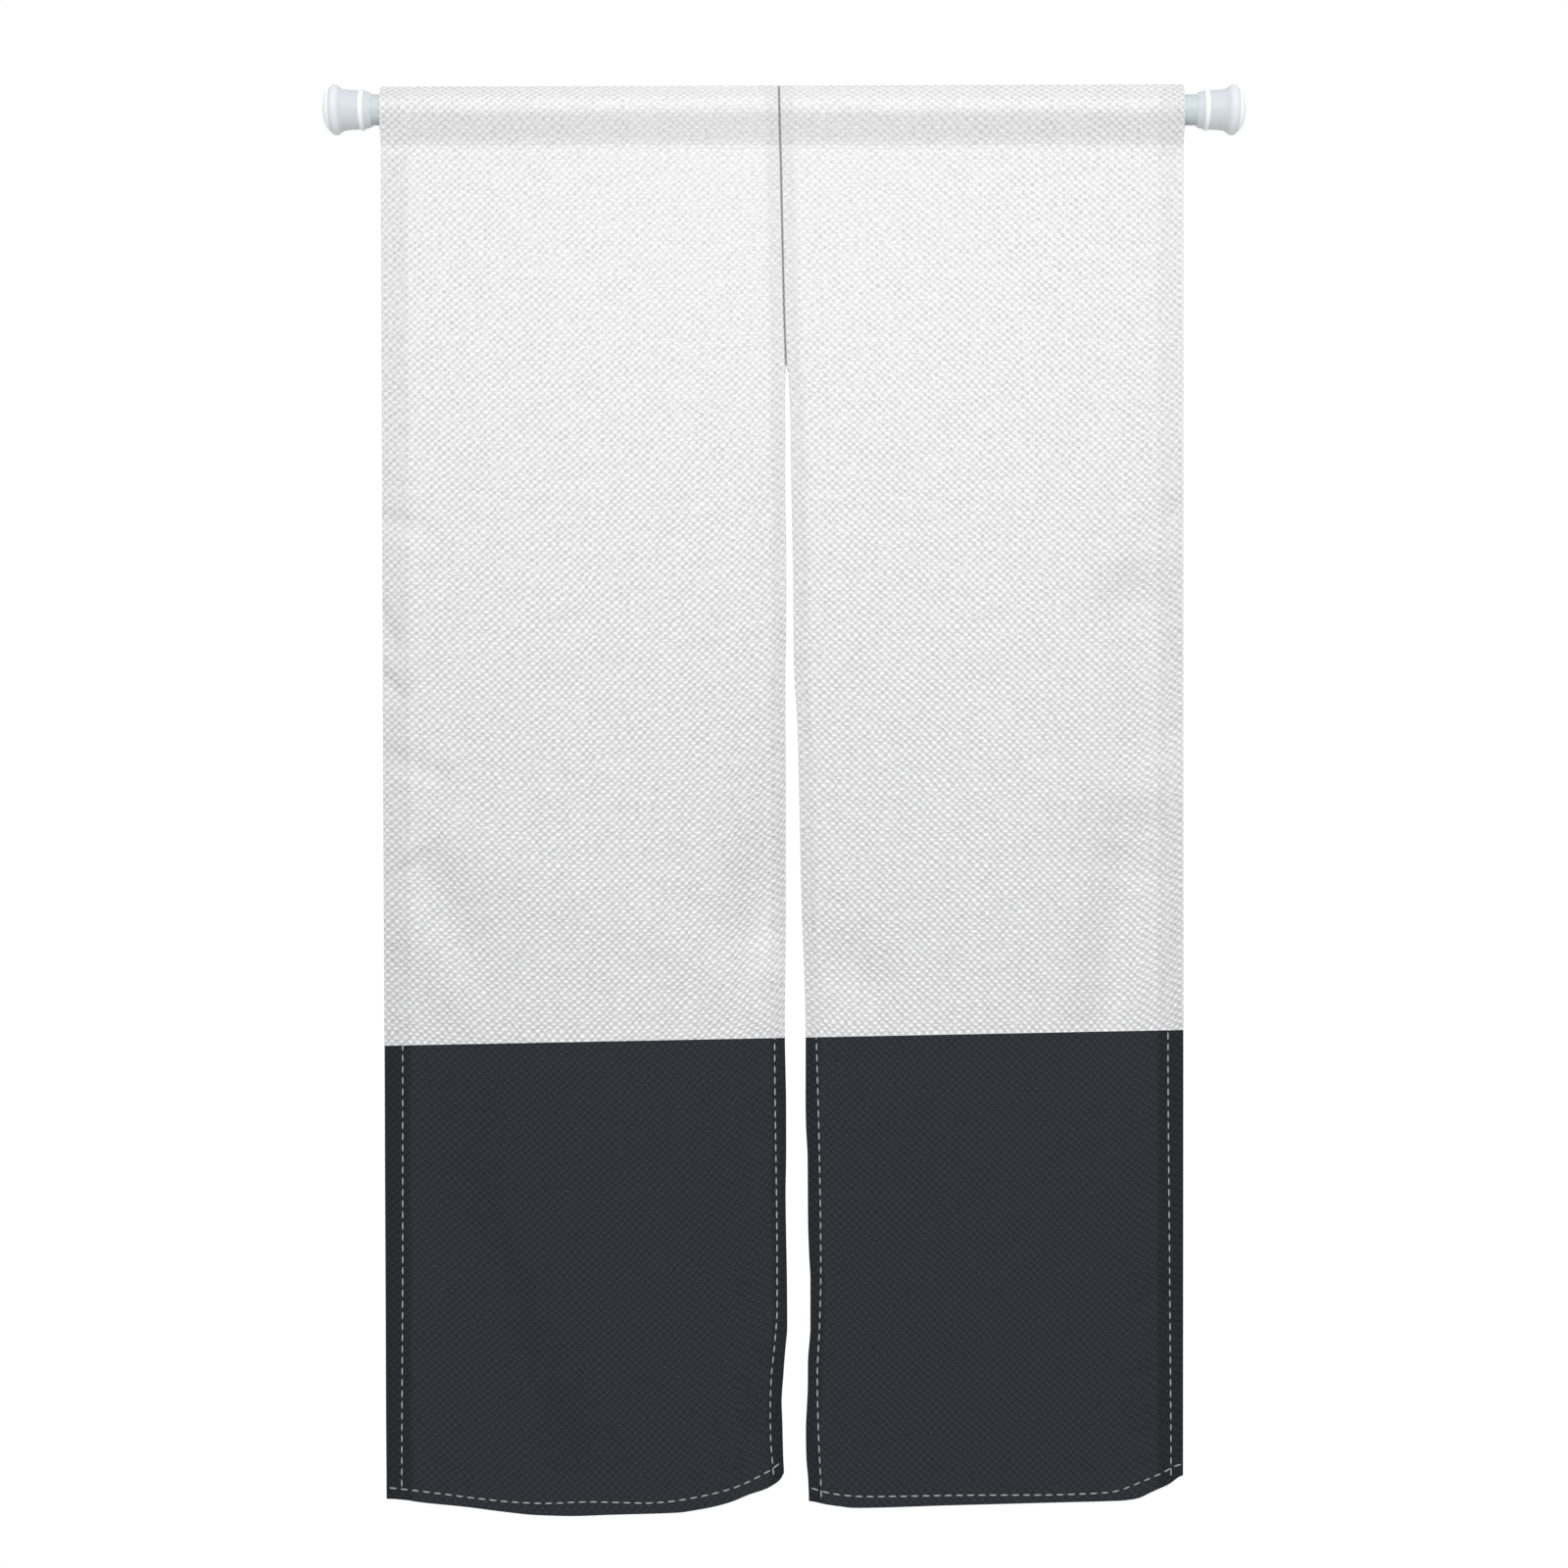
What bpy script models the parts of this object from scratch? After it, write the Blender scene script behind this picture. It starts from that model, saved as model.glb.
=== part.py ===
"""A split door curtain on a tension rod.

Two hemmed cloth panels hang side by side on a white rod. Each panel is one piece of cloth: its top is turned
over the rod and stitched down as a pocket, its sides and foot are turned up as hems, and it hangs in soft
shallow folds. The rod has a moulded cap on each end and a domed pad that presses on the side of a doorway.

Metres, +Z up. The origin is the centre of the left pad's flat face, on the axis of the rod. +X runs along the
rod to the right pad, and +Y points away from the viewer.
"""

import math
from collections import namedtuple

import bmesh
import bpy
from mathutils import Matrix

# Rod
SPAN = 0.9751
ROD_RADIUS = 0.016
ROD_SIDES = 32
FIT_GAP = 0.0003

# Cap and pad, measured inward from the outer face of the pad
PAD_DEPTH = 0.0066
CAP_START = PAD_DEPTH + FIT_GAP
CAP_LENGTH = 0.0508
SOCKET_DEPTH = 0.026
TURNED_SIDES = 32

# Cloth
CLOTH = 0.0012
HEM_LAYER = 0.0012
STEP = 0.0006
POCKET_TOP = 0.0260
POCKET_SEAM = -0.0400
POCKET_FLAP = 0.0070
CREASE_RADIUS = 0.0014
OUTER_HEM = 0.0230
INNER_HEM = 0.0115
FOOT_HEM = 0.0140
FOLD_START = -0.050
FOLD_FULL = -0.180

# How finely a panel is divided
ARC_POINTS = 5
ROWS = 40
COLUMNS = 16
SIDE_SHARE = 0.04
FOOT_STEPS = 3

# Angles in degrees above which an edge looks sharp, and how close points must be to be one
CLOTH_SHARP = 50
TURNED_SHARP = 40
MERGE = 0.00001

ProfilePoint = namedtuple("ProfilePoint", "inward radius")
EdgePoint = namedtuple("EdgePoint", "z x")
FootPoint = namedtuple("FootPoint", "x z")
Fold = namedtuple("Fold", "name x_top z_top x_foot z_foot spread depth gather")
Panel = namedtuple("Panel", "name left_edge right_edge left_hem right_hem foot folds")
Column = namedtuple("Column", "share shift in_hem")

PAD_PROFILE = (
    ProfilePoint(0.0000, 0.0110),
    ProfilePoint(0.0008, 0.0142),
    ProfilePoint(0.0022, 0.0176),
    ProfilePoint(0.0040, 0.0204),
    ProfilePoint(PAD_DEPTH, 0.0228),
)

CAP_PROFILE = (
    ProfilePoint(CAP_START, 0.0232),
    ProfilePoint(0.0090, 0.0252),
    ProfilePoint(0.0112, 0.0261),
    ProfilePoint(0.0134, 0.0262),
    ProfilePoint(0.0156, 0.0253),
    ProfilePoint(0.0182, 0.0232),
    ProfilePoint(0.0220, 0.0215),
    ProfilePoint(0.0290, 0.0208),
    ProfilePoint(0.0362, 0.0205),
    ProfilePoint(0.0374, 0.0212),
    ProfilePoint(0.0398, 0.0217),
    ProfilePoint(0.0420, 0.0210),
    ProfilePoint(0.0428, 0.0198),
    ProfilePoint(0.0470, 0.0189),
    ProfilePoint(CAP_LENGTH, 0.0178),
)

# Edges of the panels, from the top down. The two middle edges meet along the seam as far as the slit's head.
LEFT_OUTER_EDGE = (
    EdgePoint(0.026, 0.0604),
    EdgePoint(-0.340, 0.0614),
    EdgePoint(-0.715, 0.0626),
    EdgePoint(-1.000, 0.0644),
    EdgePoint(-1.475, 0.0668),
)
LEFT_INNER_EDGE = (
    EdgePoint(0.026, 0.4820),
    EdgePoint(-0.060, 0.4840),
    EdgePoint(-0.200, 0.4870),
    EdgePoint(-0.271, 0.4890),
    EdgePoint(-0.450, 0.4900),
    EdgePoint(-0.550, 0.4914),
    EdgePoint(-0.700, 0.4910),
    EdgePoint(-0.850, 0.4914),
    EdgePoint(-0.985, 0.4886),
    EdgePoint(-1.120, 0.4882),
    EdgePoint(-1.290, 0.4894),
    EdgePoint(-1.378, 0.4834),
    EdgePoint(-1.446, 0.4866),
)
RIGHT_INNER_EDGE = (
    EdgePoint(0.026, 0.4824),
    EdgePoint(-0.060, 0.4844),
    EdgePoint(-0.200, 0.4876),
    EdgePoint(-0.271, 0.4896),
    EdgePoint(-0.350, 0.4922),
    EdgePoint(-0.550, 0.4956),
    EdgePoint(-0.750, 0.5000),
    EdgePoint(-0.850, 0.5034),
    EdgePoint(-0.985, 0.5103),
    EdgePoint(-1.120, 0.5128),
    EdgePoint(-1.262, 0.5166),
    EdgePoint(-1.400, 0.5114),
    EdgePoint(-1.475, 0.5156),
)
RIGHT_OUTER_EDGE = (
    EdgePoint(0.026, 0.9108),
    EdgePoint(-0.715, 0.9104),
    EdgePoint(-1.475, 0.9100),
)

# Lower edges, from left to right. The inner corner of the left panel and the outer corner of the right one
# are drawn up.
LEFT_FOOT = (
    FootPoint(0.0668, -1.4720),
    FootPoint(0.1430, -1.4795),
    FootPoint(0.2170, -1.4876),
    FootPoint(0.2550, -1.4897),
    FootPoint(0.3670, -1.4866),
    FootPoint(0.4040, -1.4814),
    FootPoint(0.4420, -1.4710),
    FootPoint(0.4710, -1.4596),
    FootPoint(0.4834, -1.4503),
    FootPoint(0.4866, -1.4460),
)
RIGHT_FOOT = (
    FootPoint(0.5156, -1.4742),
    FootPoint(0.5500, -1.4793),
    FootPoint(0.5700, -1.4814),
    FootPoint(0.7740, -1.4752),
    FootPoint(0.8490, -1.4731),
    FootPoint(0.8620, -1.4710),
    FootPoint(0.8930, -1.4565),
    FootPoint(0.9100, -1.4460),
)

# Folds, each a soft trough (depth above 0, away from the viewer) or ridge (below 0) along a straight line.
# A fold comes in over the share of its length that gather gives.
LEFT_FOLDS = (
    Fold("belly", 0.270, -0.100, 0.335, -1.560, 0.135, -0.017, 0.75),
    Fold("outer edge", 0.060, -0.200, 0.060, -1.560, 0.060, 0.007, 0.60),
    Fold("turned inner edge", 0.498, -0.560, 0.462, -0.860, 0.052, 0.014, 0.60),
    Fold("crest", 0.103, -0.756, 0.415, -0.907, 0.030, -0.005, 0.10),
    Fold("gully", 0.093, -0.787, 0.150, -0.881, 0.026, 0.005, 0.10),
    Fold("sweep", 0.111, -1.100, 0.245, -1.430, 0.048, 0.011, 0.30),
    Fold("knee", 0.488, -1.345, 0.478, -1.388, 0.032, 0.008, 0.00),
    Fold("drawn corner", 0.490, -1.440, 0.440, -1.500, 0.050, 0.013, 0.00),
)
RIGHT_FOLDS = (
    Fold("belly", 0.690, -0.100, 0.680, -1.560, 0.125, -0.016, 0.75),
    Fold("outer edge", 0.912, -0.200, 0.912, -1.560, 0.062, 0.012, 0.60),
    Fold("shoulder", 0.856, -0.450, 0.880, -0.650, 0.042, 0.006, 0.20),
    Fold("waist", 0.858, -0.715, 0.834, -0.985, 0.044, 0.008, 0.20),
    Fold("crook", 0.778, -0.793, 0.830, -0.793, 0.024, 0.003, 0.00),
    Fold("inner dip", 0.535, -0.865, 0.590, -0.945, 0.030, 0.005, 0.10),
    Fold("low side", 0.882, -1.262, 0.868, -1.392, 0.036, 0.008, 0.00),
    Fold("drawn corner", 0.912, -1.430, 0.880, -1.490, 0.042, 0.012, 0.00),
)

PANELS = (
    Panel("panel_left", LEFT_OUTER_EDGE, LEFT_INNER_EDGE, OUTER_HEM, INNER_HEM, LEFT_FOOT, LEFT_FOLDS),
    Panel("panel_right", RIGHT_INNER_EDGE, RIGHT_OUTER_EDGE, INNER_HEM, OUTER_HEM, RIGHT_FOOT, RIGHT_FOLDS),
)


def clear_scene():
    for item in list(bpy.data.objects):
        bpy.data.objects.remove(item)


def make_material(name, colour, roughness, metallic):
    material = bpy.data.materials.new(name)
    material.use_nodes = True
    shader = material.node_tree.nodes["Principled BSDF"]
    shader.inputs["Base Color"].default_value = (*colour, 1.0)
    shader.inputs["Roughness"].default_value = roughness
    shader.inputs["Metallic"].default_value = metallic
    return material


def make_object(name, bm, material, sharp_angle):
    bmesh.ops.recalc_face_normals(bm, faces=bm.faces)
    mesh = bpy.data.meshes.new(name)
    bm.to_mesh(mesh)
    bm.free()
    mesh.materials.append(material)
    mesh.shade_smooth()
    mesh.set_sharp_from_angle(angle=math.radians(sharp_angle))
    item = bpy.data.objects.new(name, mesh)
    bpy.context.collection.objects.link(item)
    return item


def ease(value):
    """Smooth step from 0 at 0 to 1 at 1."""
    value = min(1.0, max(0.0, value))
    return value * value * (3.0 - 2.0 * value)


def slope_at(places, heights, i):
    """Slope of a smooth curve through the points that never overshoots them."""
    if i == 0 or i == len(places) - 1:
        return 0.0
    before = (heights[i] - heights[i - 1]) / (places[i] - places[i - 1])
    after = (heights[i + 1] - heights[i]) / (places[i + 1] - places[i])
    if before * after <= 0.0:
        return 0.0
    return 2.0 * before * after / (before + after)


def smooth_through(places, heights, at):
    """Value at one place on the smooth curve through points whose places rise."""
    if at <= places[0]:
        return heights[0]
    if at >= places[-1]:
        return heights[-1]
    i = max(k for k in range(len(places) - 1) if places[k] <= at)
    width = places[i + 1] - places[i]
    t = (at - places[i]) / width
    start_slope = slope_at(places, heights, i) * width
    end_slope = slope_at(places, heights, i + 1) * width
    rise = heights[i + 1] - heights[i]
    bend = 3.0 * rise - 2.0 * start_slope - end_slope
    twist = start_slope + end_slope - 2.0 * rise
    return heights[i] + t * (start_slope + t * (bend + t * twist))


def edge_x(edge, z):
    """Where an edge of a panel stands at one height. The table runs from the top down."""
    return smooth_through([-point.z for point in edge], [point.x for point in edge], -z)


def foot_z(panel, x):
    """How low a panel reaches at one place across."""
    return smooth_through([point.x for point in panel.foot], [point.z for point in panel.foot], x)


def fold_depth(fold, x, z):
    """What one fold adds at a place. It fades to either side of its line and comes in along its length."""
    run_x = fold.x_foot - fold.x_top
    run_z = fold.z_foot - fold.z_top
    along = ((x - fold.x_top) * run_x + (z - fold.z_top) * run_z) / (run_x ** 2 + run_z ** 2)
    along = min(1.0, max(0.0, along))
    away = math.hypot(x - fold.x_top - along * run_x, z - fold.z_top - along * run_z)
    strength = ease(along / fold.gather) if fold.gather > 0.0 else 1.0
    return fold.depth * strength * math.exp(-(away / fold.spread) ** 2)


def relief(panel, x, z):
    """How far the cloth lies behind the rod's axis. The rod keeps it straight at the pocket."""
    total = sum(fold_depth(fold, x, z) for fold in panel.folds)
    return total * ease((FOLD_START - z) / (FOLD_START - FOLD_FULL))


def pocket_half():
    """Front half of the pocket's middle line as (y, z): seam, up the rod's front, then in to the crease."""
    around = ROD_RADIUS + FIT_GAP + CLOTH / 2
    crease_low = POCKET_TOP - CLOTH / 2 - CREASE_RADIUS
    lower_angle = math.acos(around / -POCKET_SEAM)
    upper_angle = math.acos((around - CREASE_RADIUS) / crease_low)
    points = []
    for i in range(ARC_POINTS + 1):
        angle = -math.pi / 2 + lower_angle
        angle += (math.pi - lower_angle - upper_angle) * i / ARC_POINTS
        points.append((-around * math.cos(angle), around * math.sin(angle), angle))
    crease_angle = math.pi / 2 - upper_angle
    points.append((
        -CREASE_RADIUS * math.cos(crease_angle),
        crease_low + CREASE_RADIUS * math.sin(crease_angle),
        crease_angle,
    ))
    return points


def pocket_loop():
    """Outer and inner skin of the pocket as (y, z) pairs, from the front seam over to the back seam."""
    front = []
    for y, z, angle in pocket_half():
        out_y = -math.cos(angle) * CLOTH / 2
        out_z = math.sin(angle) * CLOTH / 2
        front.append(((y + out_y, z + out_z), (y - out_y, z - out_z)))
    crease_top = POCKET_TOP - CLOTH / 2
    top = ((0.0, crease_top + CLOTH / 2), (0.0, crease_top - CLOTH / 2))
    back = [((-outer[0], outer[1]), (-inner[0], inner[1])) for outer, inner in reversed(front)]
    return front + [top] + back


def columns_of(panel):
    """Places across a panel: its sides, both sides of each hem's turned edge, and an even spread between."""
    columns = [Column(0.0, 0.0, True), Column(0.0, panel.left_hem, True)]
    columns.append(Column(0.0, panel.left_hem + STEP, False))
    for i in range(1, COLUMNS):
        columns.append(Column(SIDE_SHARE + (1.0 - 2 * SIDE_SHARE) * i / COLUMNS, 0.0, False))
    columns.append(Column(1.0, -panel.right_hem - STEP, False))
    columns.append(Column(1.0, -panel.right_hem, True))
    columns.append(Column(1.0, 0.0, True))
    return columns


def column_x(panel, column, z):
    left = edge_x(panel.left_edge, z)
    right = edge_x(panel.right_edge, z)
    return left + (right - left) * column.share + column.shift


def column_foot(panel, column):
    """How low a column reaches. It leans a little as it falls, so its foot is found in a few steps."""
    low = panel.foot[0].z
    for _ in range(FOOT_STEPS):
        low = foot_z(panel, column_x(panel, column, low))
    return low


def section_heights(panel, column):
    """Heights of the rows below the pocket, each with how thick the cloth is there."""
    low = column_foot(panel, column)
    hem_top = low + FOOT_HEM
    flap_end = POCKET_SEAM - POCKET_FLAP
    single = CLOTH + HEM_LAYER if column.in_hem else CLOTH
    double = CLOTH + HEM_LAYER
    first = flap_end - STEP
    last = hem_top + STEP
    rows = [(flap_end, double)]
    for i in range(ROWS + 1):
        rows.append((first + (last - first) * i / ROWS, single))
    rows.append((hem_top, double))
    rows.append((low, double))
    return rows


def section_points(panel, column):
    """Every point of the panel's section at one column, in the order that section_faces uses."""
    points = []
    for outer, inner in pocket_loop():
        for y, z in (outer, inner):
            points.append((column_x(panel, column, z), y, z))
    front_y = -CLOTH / 2
    back_y = CLOTH / 2 + HEM_LAYER
    for y, z in ((front_y, POCKET_SEAM), (back_y, POCKET_SEAM), (CLOTH / 2, POCKET_SEAM + 2 * CLOTH)):
        points.append((column_x(panel, column, z), y, z))
    for z, thick in section_heights(panel, column):
        x = column_x(panel, column, z)
        y = relief(panel, x, z) + front_y
        points.append((x, y, z))
        points.append((x, y + thick, z))
    return points


def section_faces():
    """Faces of one section, as places in the list of section_points."""
    pairs = len(pocket_loop())
    faces = [(2 * i, 2 * i + 2, 2 * i + 3, 2 * i + 1) for i in range(pairs - 1)]
    front_seam = 2 * pairs
    back_seam = front_seam + 1
    notch = front_seam + 2
    first_row = front_seam + 3
    last_pair = 2 * (pairs - 1)
    faces.append((front_seam, 0, 1, notch))
    faces.append((back_seam, notch, last_pair + 1, last_pair))
    faces.append((front_seam, notch, back_seam))
    faces.append((front_seam, back_seam, first_row + 1, first_row))
    for i in range(ROWS + 3):
        row = first_row + 2 * i
        faces.append((row, row + 1, row + 3, row + 2))
    return faces


def make_panel(panel, material):
    """One cloth: its section is laid at the left edge and drawn out column by column to the right edge."""
    columns = columns_of(panel)
    bm = bmesh.new()
    order = bm.verts.layers.int.new("order")
    corners = []
    for i, point in enumerate(section_points(panel, columns[0])):
        corner = bm.verts.new(point)
        corner[order] = i
        corners.append(corner)
    faces = [bm.faces.new([corners[i] for i in face]) for face in section_faces()]
    for i, column in enumerate(columns[1:]):
        drawn = bmesh.ops.extrude_face_region(bm, geom=faces)["geom"]
        if i > 0:
            bmesh.ops.delete(bm, geom=faces, context="FACES")
        faces = [part for part in drawn if isinstance(part, bmesh.types.BMFace)]
        points = section_points(panel, column)
        for corner in drawn:
            if isinstance(corner, bmesh.types.BMVert):
                corner.co = points[corner[order]]
    return make_object(panel.name, bm, material, CLOTH_SHARP)


def turn_profile(bm, points):
    """Spin a line of (inward, radius) points a full turn about the X axis and close its poles."""
    corners = [bm.verts.new((inward, 0.0, radius)) for inward, radius in points]
    edges = [bm.edges.new(pair) for pair in zip(corners, corners[1:])]
    bmesh.ops.spin(
        bm,
        geom=corners + edges,
        cent=(0.0, 0.0, 0.0),
        axis=(1.0, 0.0, 0.0),
        angle=2 * math.pi,
        steps=TURNED_SIDES,
        use_merge=True,
    )
    bmesh.ops.remove_doubles(bm, verts=bm.verts, dist=MERGE)


def make_turned(name, points, material, on_right):
    """A turned end piece. The one on the right is the left one mirrored."""
    bm = bmesh.new()
    turn_profile(bm, points)
    if on_right:
        mirror = Matrix.Translation((SPAN, 0.0, 0.0)) @ Matrix.Scale(-1.0, 4, (1.0, 0.0, 0.0))
        bmesh.ops.transform(bm, matrix=mirror, verts=bm.verts)
    return make_object(name, bm, material, TURNED_SHARP)


def cap_points():
    """The cap's outside, then its socket for the rod, which is open towards the cloth."""
    socket_radius = ROD_RADIUS + FIT_GAP
    socket_floor = CAP_LENGTH - SOCKET_DEPTH
    outside = [(CAP_START, 0.0)] + list(CAP_PROFILE)
    return outside + [(CAP_LENGTH, socket_radius), (socket_floor, socket_radius), (socket_floor, 0.0)]


def pad_points():
    return [(0.0, 0.0)] + list(PAD_PROFILE) + [(PAD_DEPTH, 0.0)]


def make_rod(material):
    start = CAP_LENGTH - SOCKET_DEPTH + FIT_GAP
    bm = bmesh.new()
    lay_down = Matrix.Translation((SPAN / 2, 0.0, 0.0)) @ Matrix.Rotation(math.pi / 2, 4, "Y")
    bmesh.ops.create_cone(
        bm,
        cap_ends=True,
        segments=ROD_SIDES,
        radius1=ROD_RADIUS,
        radius2=ROD_RADIUS,
        depth=SPAN - 2 * start,
        matrix=lay_down,
    )
    return make_object("rod", bm, material, TURNED_SHARP)


def main():
    clear_scene()
    cloth = make_material("woven_cloth", (0.83, 0.83, 0.83), 0.9, 0.0)
    tube = make_material("painted_tube", (0.72, 0.77, 0.80), 0.35, 0.0)
    moulding = make_material("moulded_cap", (0.74, 0.78, 0.82), 0.35, 0.0)
    rubber = make_material("soft_pad", (0.70, 0.68, 0.71), 0.6, 0.0)
    for panel in PANELS:
        make_panel(panel, cloth)
    make_rod(tube)
    for side in ("left", "right"):
        make_turned("cap_" + side, cap_points(), moulding, side == "right")
        make_turned("pad_" + side, pad_points(), rubber, side == "right")


main()
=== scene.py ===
# %% [markdown]
# # A split door curtain on a tension rod
#
# Two hemmed panels of heavy plain-weave cloth hang from a white rod. Each panel is one piece of cloth. Its
# side edges are turned back and stitched, its foot is turned up and stitched, and its top is carried over
# the rod and stitched down behind as a pocket. The panels are joined edge to edge for the first 27 cm and
# part below that in a long slit.
#
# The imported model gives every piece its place. Everything here is in metres, +X along the rod, +Y away from
# the viewer and +Z up, with the rod's axis at y = 0 and z = 0.

import math
from collections import namedtuple

import bmesh
import bpy
from mathutils import Matrix, Vector


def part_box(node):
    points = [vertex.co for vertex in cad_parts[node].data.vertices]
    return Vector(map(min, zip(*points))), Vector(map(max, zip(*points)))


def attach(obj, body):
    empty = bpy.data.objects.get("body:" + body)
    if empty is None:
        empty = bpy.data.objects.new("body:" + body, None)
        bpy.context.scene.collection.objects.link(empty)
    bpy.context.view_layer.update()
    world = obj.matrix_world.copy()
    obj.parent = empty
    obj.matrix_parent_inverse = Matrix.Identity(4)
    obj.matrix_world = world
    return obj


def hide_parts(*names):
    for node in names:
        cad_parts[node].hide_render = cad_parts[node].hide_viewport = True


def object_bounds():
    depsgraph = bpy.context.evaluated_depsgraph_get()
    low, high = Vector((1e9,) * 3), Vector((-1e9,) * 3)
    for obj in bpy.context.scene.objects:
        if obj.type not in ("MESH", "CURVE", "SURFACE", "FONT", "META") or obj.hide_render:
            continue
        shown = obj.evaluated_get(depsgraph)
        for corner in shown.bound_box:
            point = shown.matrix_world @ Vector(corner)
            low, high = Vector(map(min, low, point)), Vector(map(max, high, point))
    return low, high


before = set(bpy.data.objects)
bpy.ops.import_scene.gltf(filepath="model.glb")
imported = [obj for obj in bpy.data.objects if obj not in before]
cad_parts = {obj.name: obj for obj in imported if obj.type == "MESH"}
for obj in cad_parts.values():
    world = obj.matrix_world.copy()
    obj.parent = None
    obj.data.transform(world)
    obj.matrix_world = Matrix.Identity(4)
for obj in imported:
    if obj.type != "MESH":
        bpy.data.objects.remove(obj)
cad_low, cad_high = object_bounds()
rod_low, rod_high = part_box("rod")
SPAN = cad_high.x
ROD_RADIUS = (rod_high.z - rod_low.z) / 2
print("nodes:", sorted(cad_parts))
print("span %.4f m, rod radius %.4f m" % (SPAN, ROD_RADIUS))

# %% [markdown]
# ## The camera
#
# The curtain is seen square on, from a few steps back, with the lens at the height of its middle. A long
# lens keeps the edges nearly parallel, as they look from across a room. The lens is worked out from the
# width of the view at the curtain, so that distance and framing can be set apart.

# %% Camera
VIEW_DISTANCE = 2.8
VIEW_WIDTH = 1.6624
VIEW_CENTRE = Vector((0.4875, 0.0, -0.7146))
SENSOR = 36.0


def new_object(name, data):
    item = bpy.data.objects.new(name, data)
    bpy.context.collection.objects.link(item)
    return item


camera_data = bpy.data.cameras.new("camera")
camera_data.sensor_width = SENSOR
camera_data.lens = SENSOR * VIEW_DISTANCE / VIEW_WIDTH
camera = new_object("camera", camera_data)
camera.location = VIEW_CENTRE + Vector((0.0, -VIEW_DISTANCE, 0.0))
camera.rotation_euler = (math.pi / 2, 0.0, 0.0)
bpy.context.scene.camera = camera
print("lens %.1f mm at %.1f m" % (camera_data.lens, VIEW_DISTANCE))

# %% [markdown]
# ## Helpers for finishes
#
# A finish is a small network of nodes. These helpers write one node a line, so that a network reads like a
# sum: each value is a number or the output of an earlier node.

# %% Node helpers


def plug(tree, socket, value):
    if isinstance(value, bpy.types.NodeSocket):
        tree.links.new(value, socket)
    else:
        socket.default_value = value


def fill(tree, node, **inputs):
    """Give a node its inputs by name, with _ where the name has a space."""
    for name, value in inputs.items():
        plug(tree, node.inputs[name.replace("_", " ")], value)
    return node


def new_node(tree, kind, **inputs):
    return fill(tree, tree.nodes.new("ShaderNode" + kind), **inputs)


def maths(tree, operation, *values):
    node = new_node(tree, "Math")
    node.operation = operation
    for socket, value in zip(node.inputs, values):
        plug(tree, socket, value)
    return node.outputs["Value"]


def times(tree, first, second):
    return maths(tree, "MULTIPLY", first, second)


def ramp(tree, value, start, end, low=0.0, high=1.0, way="SMOOTHSTEP"):
    """Low where the value is at its start, high where it is at its end."""
    node = new_node(tree, "MapRange", Value=value, From_Min=start, From_Max=end, To_Min=low, To_Max=high)
    node.interpolation_type = way
    return node.outputs["Result"]


def colour_socket(sockets, name):
    return next(socket for socket in sockets if socket.name == name and socket.type == "RGBA")


def mix_colour(tree, share, first, second, way="MIX"):
    node = new_node(tree, "Mix")
    node.data_type = "RGBA"
    node.blend_type = way
    plug(tree, node.inputs[0], share)
    for name, colour in (("A", first), ("B", second)):
        value = (*colour, 1.0) if isinstance(colour, tuple) else colour
        plug(tree, colour_socket(node.inputs, name), value)
    return colour_socket(node.outputs, "Result")


def cloudy(tree, place, scale, detail=2.0):
    """Smooth noise from 0 to 1 with an average of a half."""
    return new_node(tree, "TexNoise", Vector=place, Scale=scale, Detail=detail).outputs["Fac"]


def parts_of(tree, vector):
    return tuple(new_node(tree, "SeparateXYZ", Vector=vector).outputs)


def vector_of(tree, x, y, z):
    return new_node(tree, "CombineXYZ", X=x, Y=y, Z=z).outputs["Vector"]


def place_on_part(tree):
    return new_node(tree, "TexCoord").outputs["Object"]


def new_group(name, inputs, outputs):
    """A shader node group with named value or vector sockets."""
    group = bpy.data.node_groups.new(name, "ShaderNodeTree")
    for label, kind in inputs:
        group.interface.new_socket(label, in_out="INPUT", socket_type="NodeSocket" + kind)
    for label in outputs:
        group.interface.new_socket(label, in_out="OUTPUT", socket_type="NodeSocketFloat")
    return group, group.nodes.new("NodeGroupInput").outputs, group.nodes.new("NodeGroupOutput").inputs


def place_group(tree, group, **values):
    node = new_node(tree, "Group")
    node.node_tree = group
    return fill(tree, node, **values).outputs


def new_material(name):
    material = bpy.data.materials.new(name)
    material.use_nodes = True
    tree = material.node_tree
    return material, tree, tree.nodes["Principled BSDF"]


def raise_surface(tree, shader, height, distance):
    bump = new_node(tree, "Bump", Distance=distance, Height=height)
    fill(tree, shader, Normal=bump.outputs["Normal"])


# %% [markdown]
# ## Light and floor
#
# A pale room does most of the lighting. A soft lamp in front and above makes the cloth brightest at the
# pocket, and its slant brings out the folds. A second one does the same for the back. The room shows as
# plain white behind the curtain, but it lights the cloth less strongly than that, or every fold would be
# washed out. The floor lies where a doorway's floor would be, two metres under the rod.

# %% Room, lamps and floor
ROOM_SHOWN = 1.0
ROOM_LIGHT = 0.53
LAMP_PLACE = Vector((0.7, -3.6, 1.35))
LAMP_AIM = Vector((0.49, 0.0, -0.5))
LAMP_SIZE = (1.6, 0.9)
LAMP_POWER = 95.0
BACK_LAMP_PLACE = Vector((0.3, 3.6, 1.0))
BACK_LAMP_POWER = 70.0
FLOOR_HEIGHT = -1.95
FLOOR_RADIUS = 1.25
FLOOR_COLOUR = (0.78, 0.78, 0.78, 1.0)
FLOOR_ROUGHNESS = 0.9
FLOOR_SIDES = 96
WHITE = (1.0, 1.0, 1.0, 1.0)

bpy.context.scene.view_settings.view_transform = "Standard"

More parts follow.
